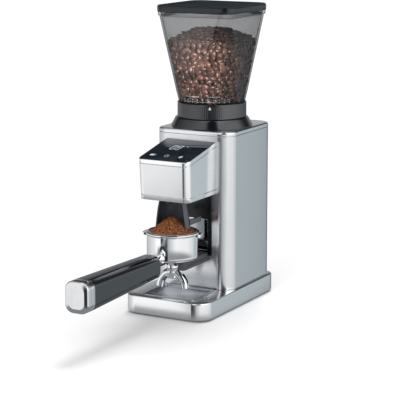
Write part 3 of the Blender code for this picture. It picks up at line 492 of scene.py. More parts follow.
# ---- the frame's own measures ----
base_low, base_high = span("base_shell")
column_low, column_high = span("column_shell")
cover_low, cover_high = span("top_cover")
head_low, head_high = span("head_top_frame")
floor_low, floor_high = span("head_floor")
ring_low, ring_high = span("grind_ring")
skirt_low, skirt_high = span("collar_skirt")
hopper_low, hopper_high = span("bean_hopper")
lid_low, lid_high = span("hopper_lid")
bay_low, bay_high = span("bay_liner")
fork_low, fork_high = span("fork")
guard_low, guard_high = span("spout_guard")
cup_high = span("portafilter_cup")[1]
basket_low, basket_high = span("portafilter_basket")
tray_low, tray_high = span("catch_tray")
grip_high = span("portafilter_grip")[1]
cap_low, cap_high = span("portafilter_cap")

AXIS_Y = (ring_low.y + ring_high.y) / 2
AXIS = (0.0, AXIS_Y)
CUP_Y = (basket_low.y + basket_high.y) / 2
CUP = (0.0, CUP_Y)
SHEET = 1.5
BASE_RADIUS, COLUMN_RADIUS, HEAD_RADIUS = 21.4, 19.9, 8.7
CHUTE_HALF, CHUTE_LOW, CHUTE_HIGH = 14.0, 172.0, 212.0     # hole that the grounds chute passes


# ---- base ----
def base_outline(inset):
    return block(base_high.x - inset, base_low.y + inset, base_high.y - inset, BASE_RADIUS - inset)


def tray_outline(inset):
    return block(tray_high.x - inset, tray_low.y + inset, tray_high.y - inset, 6.0 - inset * 0.7)


def about_axis(half, radius, steps=CORNER):
    """Square about the burr axis with rounded corners, or a circle where both sizes are alike."""
    return block(half, AXIS_Y - half, AXIS_Y + half, radius, steps)


def chute_hole(start, end):
    return brick((-CHUTE_HALF, start, CHUTE_LOW), (CHUTE_HALF, end, CHUTE_HIGH))


def make_base():
    edge, sheet, hole = 1.6, 1.2, 2.0
    top, bottom = base_high.z, base_low.z
    rings = layers(base_outline, [(sheet + 0.4, bottom + 0.3), (sheet + 0.1, bottom),
                                  *bottom_edge(bottom, 1.2), *top_edge(top, edge)])
    rings += layers(tray_outline, [(hole - 0.3, top), (hole, top - 0.3), (hole, top - sheet)])
    rings += layers(base_outline, [(sheet + edge, top - sheet), (sheet + 0.4, top - sheet - edge)])
    piece("base_housing", stack(rings, closed=True), "base_steel", "root", "base_shell",
          slot="brushed_steel")
    for corner in ("front_left", "front_right", "rear_left", "rear_right"):
        low, high = span("foot_" + corner)
        centre = ((low.x + high.x) / 2, (low.y + high.y) / 2)
        radius = (high.x - low.x) / 2
        profile = [(3.0, 0.6), (3.6, 0.0), (5.2, 0.0), (5.8, 0.6), (6.4, 0.0), (radius - 0.7, 0.0),
                   (radius, 0.7), (radius, 3.0), (4.0, 3.2), (4.0, 5.3), (5.2, 5.3), (4.0, high.z)]
        piece("rubber_foot_" + corner, turned(profile, centre, steps=48), "rubber", "root",
              "foot_" + corner, slot="rubber")


def make_tray():
    """Drip tray with a flat rim, straight inner walls and a flat floor."""
    top, under_rim = tray_high.z, base_high.z + GAP
    body, rim, depth = 2.3, 2.6, 3.2
    rings = layers(tray_outline, [
        (body + 0.6, top - depth - 1.6), (body, top - depth), (body, under_rim), (0.0, under_rim),
        *top_edge(top, 0.7, 4), (rim - 0.3, top), (rim, top - 0.3), (rim + 0.2, top - depth + 0.5),
        (rim + 0.6, top - depth), (rim + 5.0, top - depth)])
    piece("drip_tray", stack(rings), "tray_steel", "tray", "catch_tray", slot="brushed_steel")


# ---- column ----
def column_outline(inset):
    return block(column_high.x - inset, column_low.y + inset, column_high.y - inset, COLUMN_RADIUS - inset)


def make_column():
    bottom, top = column_low.z, column_high.z
    rings = layers(column_outline, [(0.25, bottom), (0.0, bottom + 0.25), (0.0, top - 0.35), (0.35, top),
                                    (SHEET, top), (SHEET, bottom)])
    front, back = column_low.y, column_high.y
    bay = block(bay_high.x + GAP, bay_low.z - GAP, floor_low.z - GAP, 4.0, 8)
    vent_low, vent_high = span("vent_panel")
    vent = block(vent_high.x + GAP, vent_low.z - GAP, vent_high.z + GAP, 5.0, 8)
    gland_low, gland_high = span("cord_gland")
    gland_z = (gland_low.z + gland_high.z) / 2
    gland_hole, screw_hole = 5.4, 1.9
    holes = [slab(bay, front - 2, front + 4), chute_hole(front - 2, front + 4),
             slab(vent, back - 4, back + 2), slab(circle(gland_hole, (0.0, gland_z), 32), back - 4, back + 2)]
    screw_low, screw_high = span("fork_screw_left")
    screw_z = (screw_low.z + screw_high.z) / 2
    for side in (-1, 1):
        screw = circle(screw_hole, (side * abs(screw_low.x + screw_high.x) / 2, screw_z), 24)
        holes.append(slab(screw, front - 2, front + 4))
    piece("column_housing", stack(rings, closed=True), "column_steel", "root", "column_shell",
          slot="brushed_steel", holes=holes)
    edge, hole, plate = 2.4, 46.0, 2.0
    low, high = cover_low.z, cover_high.z
    rings = layers(column_outline, [(0.35, low), (0.0, low + 0.35), *top_edge(high, edge, 6)])
    rings += [flat(about_axis(hole, hole), high), flat(about_axis(hole, hole), high - plate)]
    rings += layers(column_outline, [(edge + 2.0, high - plate), (SHEET, high - plate - edge),
                                     (SHEET, low)])
    piece("cover_lid", stack(rings, closed=True), "cover_steel", "root", "top_cover", slot="brushed_steel")
    end = gland_high.y
    profile = [(5.0, back - 7.0), (5.0, back + GAP), (7.6, back + GAP), (8.0, back + 0.8), (8.0, back + 1.6),
               (7.4, back + 2.2), (6.9, back + 3.4), (7.1, back + 3.8), (6.2, end - 0.2), (5.8, end),
               (4.0, end), (3.6, end - 0.4), (3.6, back - 7.0)]
    piece("cord_bushing", turned_along_y(profile, 0.0, gland_z, closed=True), "rubber", "root",
          "cord_gland", slot="rubber")


# ---- head ----
HEAD_FRONT, HEAD_BACK, HEAD_HALF = head_low.y, head_high.y, head_high.x
HEAD_LEAN, HEAD_TAPER = 3.0, 1.0          # how much the foot of the head is set in
HEAD_BAND, HEAD_BEVEL = 6.0, 0.3
HEAD_FRONT_TOP = head_low.z + HEAD_BAND
HEAD_SLOPE = (head_high.z - HEAD_FRONT_TOP) / (HEAD_BACK - HEAD_FRONT)
LOW_LEVEL = HEAD_BAND / (HEAD_FRONT_TOP - floor_low.z)


def head_outline(level, inset):
    """Head outline at a level from 0, its foot, to 1, the front top edge."""
    half = HEAD_HALF - HEAD_TAPER * (1 - level) - inset
    front = HEAD_FRONT + HEAD_LEAN * (1 - level) + inset
    curve = HEAD_RADIUS - inset * 0.8
    return rectangle(-half, half, front, HEAD_BACK - inset, (1.0, 1.0, curve, curve))


def sloped(outline, offset):
    """The outline laid on the head's sloping top, moved up by the offset."""
    return [(x, y, HEAD_FRONT_TOP + (y - HEAD_FRONT) * HEAD_SLOPE + offset) for x, y in outline]


def head_rings(lay, rows):
    """Rings laid flat or on the slope, from rows of level, inset and height."""
    return [lay(head_outline(level, inset), height) for level, inset, height in rows]


def head_piece(name, rings, node, **values):
    piece(name, stack(rings, closed=True), "head_steel", "root", node, slot="brushed_steel", **values)


def make_head():
    bottom, drop, high_level = floor_high.z + GAP, -HEAD_BAND - GAP, 1 - LOW_LEVEL
    head_piece("head_housing", [
        *head_rings(flat, [(LOW_LEVEL, HEAD_BEVEL, bottom), (LOW_LEVEL, 0.0, bottom + HEAD_BEVEL)]),
        *head_rings(sloped, [(high_level, 0.0, drop - HEAD_BEVEL), (high_level, HEAD_BEVEL, drop),
                             (high_level, SHEET, drop)]),
        *head_rings(flat, [(LOW_LEVEL, SHEET, bottom)])], "head_shell",
        holes=[chute_hole(HEAD_BACK - 3, HEAD_BACK + 2)])
    shelf, bezel, pocket = 4.5, 0.9, -2.0
    head_piece("head_frame", head_rings(sloped, [
        (high_level, HEAD_BEVEL, -HEAD_BAND), (high_level, 0.0, -HEAD_BAND + HEAD_BEVEL),
        *((1.0, inset, -depth) for inset, depth in edge_arc(0.6, 4)),
        (1.0, bezel, 0.0), (1.0, bezel, pocket), (1.0, shelf, pocket), (1.0, shelf, -HEAD_BAND)]),
        "head_top_frame")
    inset = bezel + GAP
    rings = head_rings(sloped, [(1.0, inset, pocket + GAP), (1.0, inset, -0.1), (1.0, inset + 0.1, 0.1),
                                (1.0, inset + 0.3, 0.2)])
    piece("touch_glass", stack(rings), "glass_black", "root", "control_glass", slot="control_glass")
    foot, top = floor_low.z, floor_high.z
    rings = head_rings(flat, [*((0.0, *pair) for pair in bottom_edge(foot, 0.8, 4)),
                              (LOW_LEVEL, 0.0, top - HEAD_BEVEL), (LOW_LEVEL, HEAD_BEVEL, top),
                              (LOW_LEVEL, SHEET, top), (0.0, SHEET, foot + 1.8)])
    outlet = turned([(13.0, foot - 2), (13.0, foot + 4)], CUP, steps=64)
    piece("head_underside", stack(rings), "head_steel", "root", "head_floor", slot="brushed_steel",
          holes=[outlet])


# ---- prints on the glass ----
def on_glass(points, lift):
    return sloped(points, 0.2 + lift)


def glass_marks(name, outlines, finish, low=0.01, high=0.06):
    """Thin printed shapes that lie on the glass."""
    bm = bmesh.new()
    for outline in outlines:
        add_stack(bm, [on_glass(outline, low), on_glass(outline, high)])
    piece(name, bm, finish, "root")


def bar(start, end, width):
    """A narrow rectangle from one point to another, as an outline."""
    (x0, y0), (x1, y1) = start, end
    length = math.hypot(x1 - x0, y1 - y0)
    nx, ny = -(y1 - y0) / length * width / 2, (x1 - x0) / length * width / 2
    return [(x1 + nx, y1 + ny), (x0 + nx, y0 + ny), (x0 - nx, y0 - ny), (x1 - nx, y1 - ny)]


def arc_bars(centre, radii, start, end, steps, width):
    """A curved stroke made of short bars, between two angles in degrees."""
    angles = [math.radians(start + (end - start) * i / steps) for i in range(steps + 1)]
    points = [(centre[0] + radii[0] * math.cos(a), centre[1] + radii[1] * math.sin(a)) for a in angles]
    return [bar(a, b, width) for a, b in zip(points, points[1:])]


SEGMENTS = {"a": ((0, 2), (1, 2)), "b": ((1, 2), (1, 1)), "c": ((1, 1), (1, 0)), "d": ((0, 0), (1, 0)),
            "e": ((0, 1), (0, 0)), "f": ((0, 2), (0, 1)), "g": ((0, 1), (1, 1))}
DIGITS = {"0": "abcdef", "8": "abcdefg"}


def segment_digit(digit, x, y, width, height, stroke, slant=0.18):
    """Seven-segment digit as outlines, with its lower left corner at x, y."""
    outlines = []
    for name in DIGITS[digit]:
        (x0, y0), (x1, y1) = ((x + a * width + b * height / 2 * slant, y + b * height / 2)
                              for a, b in SEGMENTS[name])
        trim = stroke * 0.45 / math.hypot(x1 - x0, y1 - y0)
        outlines.append(bar((x0 + (x1 - x0) * trim, y0 + (y1 - y0) * trim),
                            (x1 - (x1 - x0) * trim, y1 - (y1 - y0) * trim), stroke))
    return outlines


def make_display():
    """Two digits, and three plain touch symbols: a cup, a power ring and a bean."""
    foot, height, width, stroke = 39.0, 14.0, 5.2, 0.42
    digits = segment_digit("0", -13.6, foot, width, height, stroke)
    digits += segment_digit("8", -5.0, foot, width, height, stroke)
    digits.append(circle(0.6, (9.2, foot + height - 1.5), 10))
    glass_marks("display_digits", digits, "display_glow")
    row, cup_x, ring_x, bean_x = 15.0, -25.6, -3.3, 18.5
    cup = [[(x + cup_x, y) for x, y in block(3.2, row - 3.0, row + 2.6, 1.4, 3)]]
    cup += arc_bars((-21.8, row), (1.8, 2.0), -80, 80, 8, 0.6)
    ring = arc_bars((ring_x, row), (2.9, 3.8), -245, 65, 22, 0.6)
    ring.append(bar((ring_x, row + 0.8), (ring_x, row + 4.6), 0.7))
    bean = [(bean_x + 2.4 * math.cos(a) + 1.0 * math.sin(a), row + 3.6 * math.sin(a) - 0.6 * math.cos(a))
            for a in (math.pi * 2 * i / 24 for i in range(24))]
    glass_marks("touch_symbols", cup + ring + [bean], "white_print")
    bend = (18.3, row - 0.3)
    crease = [bar((17.3, row - 3.2), bend, 0.8), bar(bend, (19.8, row + 3.2), 0.8)]
    glass_marks("bean_symbol_crease", crease, "black_print", 0.05, 0.09)


# ---- coffee path under the head ----
def make_bay():
    half, low, high = bay_high.x, bay_low.z, bay_high.z
    front, back = bay_low.y, bay_high.y
    outer, lip, inner, corner = (
        block(half - inset, low + inset, high - inset, radius, 8)
        for inset, radius in ((0.0, 3.7), (0.5, 3.2), (SHEET, 2.2), (SHEET + 1.0, 1.6)))
    rings = [upright(outline, y) for outline, y in (
        (outer, back), (outer, front + 0.5), (lip, front), (inner, front + 0.3),
        (inner, back - SHEET - 1.0), (corner, back - SHEET))]
    piece("bay_lining", stack(rings), "bay_black", "root", "bay_liner", slot="black_plastic")
    low, high = span("bay_mirror")
    face, back = low.y, high.y
    outer, edge, lip, inner = (
        block(high.x - inset, low.z + inset, high.z - inset, max(0.6, 2.2 - inset), 6)
        for inset in (0.0, 0.4, 1.3, 1.6))
    rings = [upright(outline, y) for outline, y in (
        (inner, face + 0.6), (lip, face), (edge, face), (outer, face + 0.4), (outer, back), (inner, back))]
    piece("bay_plate_rim", stack(rings, closed=True), "frame_steel", "root", "bay_mirror", slot="mirror")
    piece("bay_plate", slab(inner, back, face + 0.6), "mirror", "root", "bay_mirror", slot="mirror")


def make_fork():
    """Two arms with rounded noses and a groove down each side."""
    half, slot_half, root, edge, groove = fork_high.x, 16.0, 68.0, 0.8, 1.0
    nose = (half - slot_half) / 2
    tip, back = fork_low.y, fork_high.y
    low, high = fork_low.z, fork_high.z

    def body(inset):
        curve = nose - inset
        return rectangle(-half + inset, half - inset, tip + inset, back, (1.0, 1.0, curve, curve))
    rings = layers(body, [*bottom_edge(low, edge, 4), *top_edge(high, edge, 4)])
    gap = rectangle(-slot_half, slot_half, tip - 20, root, (6.0, 6.0, 1.0, 1.0), 12)
    holes = [stack([flat(gap, low - 5), flat(gap, high + 5)])]
    screw_low, screw_high = span("fork_screw_right")
    for side in (-1, 1):
        near, far = sorted((side * (half - groove), side * (half + 5.0)))
        holes.append(brick((near, tip + 8.0, low + 5.0), (far, back - 6.0, low + 7.2)))
        place = (side * (screw_low.x + screw_high.x) / 2, (screw_low.z + screw_high.z) / 2)
        holes.append(slab(circle(1.6, place, 24), root + 1.5, back + 3))
    piece("fork_arms", stack(rings), "fork_grey", "root", "fork", slot="fork_grey", holes=holes)


GUARD_WALL, GUARD_TOP, GUARD_FOOT = 2.0, 16.4, 24.4


def guard_ring(radius, z, steps=56):
    """A C-shaped outline that is open to the front, with rounded lips."""
    start, end = math.radians(-12.0), math.radians(192.0)
    points = []
    for r, order in ((radius, range(steps + 1)), (radius - GUARD_WALL, range(steps, -1, -1))):
        for i in order:
            angle = start + (end - start) * i / steps
            points.append((r * math.cos(angle), CUP_Y + r * math.sin(angle), z))
    return points


def make_guard():
    """Flared guard with a bracket down each side."""
    top, bottom, levels = guard_high.z, guard_low.z, 20
    rings = []
    for i in range(levels + 1):
        share = i / levels
        radius = GUARD_TOP + (GUARD_FOOT - GUARD_TOP) * (1 - share) ** 0.48
        rings.append(guard_ring(radius, bottom + (top - bottom) * share))
    brackets, inner, outer = [], 20.6, 23.8
    foot, head, front, back = 126.0, 133.6, 31.0, 62.5
    for side in (-1, 1):
        near, far = sorted((side * inner, side * outer))
        brackets.append(slab(rectangle(near, far, foot, head, (1.2,) * 4, 5), front, back))
    piece("grounds_guard", stack(rings), "guard_black", "root", "spout_guard", slot="black_plastic",
          joins=brackets)


# ---- grind adjustment and hopper ----
POINTER_TURN = math.radians(24.8)        # the pointer's place round the ring, from the front to the right
MARK_PITCH, MARKS = math.radians(9.4), 10


def make_ring():
    radius, low, high = skirt_high.x, skirt_low.z, skirt_high.z
    inner, shoulder = 45.5, ring_low.z - GAP - 1.4
    profile = [(radius, low), (radius, low + 0.9), (radius - 0.5, low + 1.6), (radius - 5.7, shoulder),
               (radius - 6.2, high - 0.5), (radius - 6.8, high), (inner, high), (inner, low)]
    piece("collar", turned(profile, AXIS, closed=True, steps=144), "satin_black", "root", "collar_skirt",
          slot="satin_black")
    outer, low, high = ring_high.x, ring_low.z, ring_high.z
    ribs, rib_depth = 108, 0.18
    web_low, web_high, web_radius, bore = low + 0.7, low + 3.7, 34.0, outer - 3.6

    def ribbed(radius, z, depth=0.0):
        points = []
        for i in range(4 * ribs):
            angle = 2 * math.pi * i / (4 * ribs)
            r = radius - (depth if i % 4 in (0, 1) else 0.0)
            points.append((r * math.cos(angle), AXIS_Y + r * math.sin(angle), z))
        return points
    rings = [ribbed(*row) for row in (
        (outer - 0.6, low), (outer, low + 0.8), (outer, low + 1.6), (outer, low + 1.8, rib_depth),
        (outer, high - 3.0, rib_depth), (outer, high - 2.8), (outer, high - 0.8),
        (outer - 0.3, high - 0.25), (outer - 0.8, high), (bore, high), (bore, web_high),
        (web_radius, web_high), (web_radius, web_low), (bore, web_low - 0.4), (bore, low))]
    piece("adjusting_ring", stack(rings, closed=True), "ring_black", "ring", "grind_ring",
          slot="satin_black", angle=24)
    arrow = [(0.0, high - 2.2), (-1.9, high - 6.6), (1.9, high - 6.6)]
    # the black wedge below the pointer is a painted reflection: the ring's dark reflected stripe, drawn as
    # black print that narrows towards the pointer
    line = [(-1.9, low + 0.9), (1.9, low + 0.9), (0.5, high - 7.0), (-0.5, high - 7.0)]
    for name, outline, depth, finish in (("ring_pointer", arrow, 0.16, "white_print"),
                                         ("ring_painted_reflection_wedge", line, 0.12, "black_print")):
        piece(name, wrapped([outline], POINTER_TURN, lambda z: outer + 0.02, depth), finish, "ring")


def wrapped(outlines, turn, radius_at, depth):
    """Flat marks (distance round, height) wrapped on a round wall about the burr axis."""
    bm = bmesh.new()
    for outline in outlines:
        rings = []
        for lift in (0.0, depth):
            places = [(radius_at(z) + lift, turn + along / radius_at(z), z) for along, z in outline]
            rings.append([(r * math.sin(a), AXIS_Y - r * math.cos(a), z) for r, a, z in places])
        add_stack(bm, rings)
    return bm


HOPPER_STEPS = 16
HOPPER_ROUND, HOPPER_CORNER, HOPPER_WALL = 47.0, 18.5, 2.2
HOPPER_HALF, HOPPER_TOP = hopper_high.x, hopper_high.z
NECK_RADIUS = 30.0
FUNNEL_LOW, FUNNEL_HIGH = 284.9, 286.6    # the nearly level floor between the neck and the walls


def hopper_half(height):
    """Half width of the hopper's outside at a height."""
    share = (height - ring_high.z) / (HOPPER_TOP - ring_high.z)
    return HOPPER_ROUND + (HOPPER_HALF - HOPPER_ROUND) * share


def hopper_outline(height, inset):
    """Round at the ring and a rounded square at the top, with straight walls between."""
    share = (height - ring_high.z) / (HOPPER_TOP - ring_high.z)
    radius = HOPPER_ROUND + (HOPPER_CORNER - HOPPER_ROUND) * share - inset
    return about_axis(hopper_half(height) - inset, max(radius, 1.0), HOPPER_STEPS)


def hopper_circle(radius):
    return about_axis(radius, radius, HOPPER_STEPS)


def make_hopper():
    neck_bottom, foot = hopper_low.z, ring_high.z + GAP
    bore = NECK_RADIUS - HOPPER_WALL
    lip, lip_low, levels = 0.9, HOPPER_TOP - 5.5, 8
    outside = [ring_high.z + (lip_low - ring_high.z) * i / levels for i in range(levels, 0, -1)]
    inside = [FUNNEL_HIGH + (HOPPER_TOP - FUNNEL_HIGH) * i / levels for i in range(levels + 1)]
    rings = [flat(hopper_outline(HOPPER_TOP, inset - lip), z) for inset, z in (
        (0.4, HOPPER_TOP), (0.0, HOPPER_TOP - 0.4), (0.0, lip_low + 0.9))]
    rings += [flat(hopper_outline(z, 0.0), z) for z in outside]
    rings += layers(hopper_circle, [
        (HOPPER_ROUND - 0.3, foot + 0.1), (HOPPER_ROUND - 1.0, foot), (NECK_RADIUS, foot),
        (NECK_RADIUS, neck_bottom), (bore, neck_bottom), (bore, FUNNEL_LOW)])
    rings += [flat(hopper_outline(z, HOPPER_WALL), z) for z in inside]
    hopper = piece("hopper_glass", stack(rings, closed=True), "smoked", "hopper", "bean_hopper",
                   slot="smoked_plastic")
    hopper.visible_shadow = False


def oblong(a, b, low, high):
    return [(a, low), (b, low), (b, high), (a, high)]


def make_scale():
    """A row of dots and ticks above the ring with a base line, and two rows of dashes over them."""
    foot, middle, steps = ring_high.z + GAP, math.radians(17.4), 30
    half = (MARKS - 1) / 2 * MARK_PITCH * HOPPER_ROUND
    outlines = []
    for number in range(MARKS):
        along = number * MARK_PITCH * HOPPER_ROUND - half
        outlines.append([(along + x, foot + 6.4 + z) for x, z in circle(0.8, steps=8)])
        outlines.append(oblong(along - 0.3, along + 0.3, foot + 2.4, foot + 3.6))
    for i in range(steps):
        a, b = (-half + 2 * half * k / steps for k in (i, i + 1))
        outlines.append(oblong(a, b, foot + 3.6, foot + 3.85))
    for first, count in ((-0.90, 8), (0.12, 6)):
        for i in range(count):
            along = (first + i * 0.085) * half
            outlines.append(oblong(along - 1.0, along + 1.0, foot + 10.2, foot + 11.5))
    marks = wrapped(outlines, middle, lambda z: hopper_half(z) + 0.05, 0.12)
    piece("grind_scale", marks, "faint_print", "hopper")


def make_lid():
    half, corner, plug = lid_high.x, 19.5, 53.4
    bottom, top, plug_low = HOPPER_TOP + GAP, lid_high.z, lid_low.z
    inner, seam = half - plug, 30.0

    def rings(*rows):
        """Rounded squares, from pairs of inset and height."""
        return [flat(about_axis(half - inset, max(corner - inset, 2.0), HOPPER_STEPS), z)
                for inset, z in rows]
    panel = rings((seam + 1.0, top - 0.45), (3.2, top - 0.45), (3.2, top - 0.1), (3.5, top),
                  (8.0, top - 0.05), (9.5, top - 0.3), (seam + 1.0, top - 0.2))
    piece("lid_panel", stack(panel), "panel_black", "lid", "hopper_lid", slot="satin_black")
    shell = rings(
        (seam, bottom + 1.0), (inner + 2.0, bottom + 1.0), (inner + 1.6, bottom), (0.5, bottom),
        (0.25, bottom + 0.3), (0.0, top - 2.4), (0.25, top - 1.9), (0.9, top - 1.75), (0.9, top - 1.35),
        (0.55, top - 1.0), (0.7, top - 0.55), (1.3, top - 0.2), (2.6, top), (2.9, top - 0.5),
        (seam, top - 0.5))
    piece("lid", stack(shell), "lid_black", "lid", "hopper_lid", slot="satin_black")
    skirt = rings((inner, bottom + 0.2), (inner, plug_low + 0.5), (inner + 0.5, plug_low),
                  (inner + 1.5, plug_low), (inner + 1.8, plug_low + 0.4), (inner + 1.8, bottom + 0.2))
    piece("lid_skirt", stack(skirt, closed=True), "clear", "lid", "hopper_lid", slot="smoked_plastic")
    low, high = span("lid_seal")
    lip = half - high.x
    seal = rings((inner - 0.2, low.z), (lip + 0.8, low.z + 0.3), (lip, low.z + 1.0),
                 (lip + 0.6, low.z + 1.4), (lip + 0.2, high.z - 1.0), (lip + 0.9, high.z - 0.3),
                 (inner - 0.2, high.z))
    piece("lid_gasket", stack(seal, closed=True), "clear", "lid", "lid_seal", slot="silicone")


# ---- beans ----
BEAN_LENGTH, BEAN_WIDTH, BEAN_RISE = 5.9, 4.2, 2.9        # half sizes
BEAN_EDGE, BEAN_PEAK = 369.0, 385.0


def one_bean(around=10, along=7):
    """Points, crease weights for the painted shade in the crease, and faces of a bean whose flat side looks
    down.
    """
    points, crease = [(BEAN_LENGTH, 0.0, 0.0)], [0.0]
    for i in range(1, along):
        theta = math.pi * i / along
        for j in range(around):
            phi = 2 * math.pi * j / around
            x = BEAN_LENGTH * math.cos(theta)
            y = BEAN_WIDTH * math.sin(theta) * math.cos(phi)
            z = BEAN_RISE * math.sin(theta) * math.sin(phi)
            groove = 0.0
            if z < 0:
                z *= 0.55
                bend = 0.35 * math.sin(x / BEAN_LENGTH * math.pi)
                groove = math.exp(-((y - bend) / 0.7) ** 2) * math.sin(theta)
                z += 1.3 * groove
            points.append((x, y, z))
            # the groove's weight also sets how much painted shade darkens the crease
            crease.append(groove)
    points.append((-BEAN_LENGTH, 0.0, 0.0))
    crease.append(0.0)
    last = len(points) - 1
    faces = [(0, 1 + j, 1 + (j + 1) % around) for j in range(around)]
    for i in range(along - 2):
        row, after = 1 + i * around, 1 + (i + 1) * around
        faces += [(row + j, after + j, after + (j + 1) % around, row + (j + 1) % around)
                  for j in range(around)]
    row = 1 + (along - 2) * around
    faces += [(last, row + (j + 1) % around, row + j) for j in range(around)]
    return points, crease, faces


def walk(outline, pitch, start):
    """Places along a closed outline at an even pitch, each with its outward direction."""
    edges = [(a, b, math.dist(a, b)) for a, b in zip(outline, outline[1:] + outline[:1])]
    total = sum(length for _, _, length in edges)
    count = max(3, int(total / pitch))
    places = []
    for k in range(count):
        distance = (start + k / count) % 1.0 * total
        for a, b, length in edges:
            if distance <= length and length > 1e-9:
                t = distance / length
                out = ((b[1] - a[1]) / length, -(b[0] - a[0]) / length)
                places.append(((a[0] + (b[0] - a[0]) * t, a[1] + (b[1] - a[1]) * t), out))
                break
            distance -= length
    return places


def inner_outline(z, inset):
    """The hopper's inside at a height, with its funnel below the straight walls."""
    if z >= FUNNEL_HIGH:
        return hopper_outline(z, HOPPER_WALL + inset)
    share = max(0.0, (z - FUNNEL_LOW) / (FUNNEL_HIGH - FUNNEL_LOW))
    bore = NECK_RADIUS - HOPPER_WALL
    return hopper_circle(bore + (HOPPER_ROUND + 0.9 - HOPPER_WALL - bore) * share - inset)


def crown(x, y, half):
    """Height of the heap over a place, from its edge to its peak."""
    reach = (abs(x / half) ** 3 + abs(y / half) ** 3) ** (1 / 3)
    return BEAN_EDGE + (BEAN_PEAK - BEAN_EDGE) * max(0.0, 1 - reach ** 2)


def bean_places(rng):
    """Place of each bean that can be seen and the direction its back looks in: side walls, then the top."""
    wall_slope = (HOPPER_HALF - HOPPER_ROUND) / (HOPPER_TOP - ring_high.z)
    sides, top = [], []
    for layer, (inset, pitch) in enumerate(((3.7, 9.6), (8.2, 10.0))):
        z = FUNNEL_HIGH + 2.2 + layer * 3.0
        while z < BEAN_EDGE + 2:
            for (x, y), out in walk(inner_outline(z, inset), pitch, rng.random()):
                jitter = rng.uniform(-1.3, 1.3)
                back = Vector((out[0], out[1], -wall_slope)).normalized()
                sides.append((Vector((x, y, z + jitter)), back))
            z += 6.4
    half = hopper_half(BEAN_EDGE) - (HOPPER_WALL + 4.0)
    step = 7.4
    for sink in (0.0, 4.2):
        rows = int(half / (step * 0.86)) + 1
        for row in range(-rows, rows + 1):
            for column in range(-rows - 1, rows + 2):
                x = (column + 0.5 * (row % 2)) * step + rng.uniform(-1.3, 1.3)
                y = row * step * 0.86 + rng.uniform(-1.3, 1.3)
                reach = (abs(x / half) ** 4 + abs(y / half) ** 4) ** 0.25
                if reach <= 1.0:
                    z = crown(x, y, half) - sink + rng.uniform(-1.5, 1.5)
                    top.append((Vector((x, AXIS_Y + y, z)), Vector((0.0, 0.0, 1.0))))
    return sides, top


def bean_mesh(name, places, rng):
    shape, weights, shape_faces = one_bean()
    points, faces, tones, crease_shading = [], [], [], []
    for place, back in places:
        back = back * rng.choice((1, 1, 1, -1)) + Vector([rng.gauss(0.0, 0.30) for _ in range(3)])
        back.normalize()
        along = back.orthogonal().normalized()
        along.rotate(Matrix.Rotation(rng.uniform(0, 2 * math.pi), 3, back))
        turn = Matrix((along, back.cross(along), back)).transposed()
        size = rng.uniform(0.84, 1.04)
        start = len(points)
        points += [tuple((turn @ Vector(p) * size + place) * MM) for p in shape]
        faces += [tuple(start + i for i in face) for face in shape_faces]
        tones += [min(1.0, max(0.0, rng.gauss(0.42, 0.22)))] * len(shape)
        # weights of the painted shade in each bean's crease
        crease_shading += weights
    mesh = bpy.data.meshes.new(name)
    mesh.from_pydata(points, [], faces)
    for key, values in (("tone", tones), ("crease", crease_shading)):
        mesh.attributes.new(key, 'FLOAT', 'POINT').data.foreach_set("value", values)
    mesh.shade_smooth()
    mesh.materials.append(finishes["bean_skin"])
    heap = add_object(name, mesh)
    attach(heap, "hopper")
    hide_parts("coffee_beans")


def make_beans():
    rng = random.Random(7)
    sides, top = bean_places(rng)
    bean_mesh("bean_heap_sides", sides, rng)
    bean_mesh("bean_heap_top", top, rng)
    # behind the visible beans a near-black core fills the heap: painted shade that stands for the shaded
    # beans and gaps deep inside
    inset, core_top = HOPPER_WALL + 8.0, BEAN_EDGE - 4
    rings = [flat(hopper_circle(20.0), 266.0), flat(hopper_circle(20.0), 286.0),
             flat(hopper_outline(290.0, inset), 290.0), flat(hopper_outline(core_top, inset), core_top)]
    for width, rise in ((0.8, 0.4), (0.5, 0.75), (0.2, 0.95)):
        z = BEAN_EDGE - 7 + (BEAN_PEAK - BEAN_EDGE) * rise
        rings.append([(x * width, AXIS_Y + (y - AXIS_Y) * width, z) for x, y, _ in rings[3]])
    piece("bean_heap_shade_core", stack(rings), "bean_core", "hopper")


# ---- portafilter ----
LUG_TURN = math.radians(13.4)
NECK_Z = 85.0


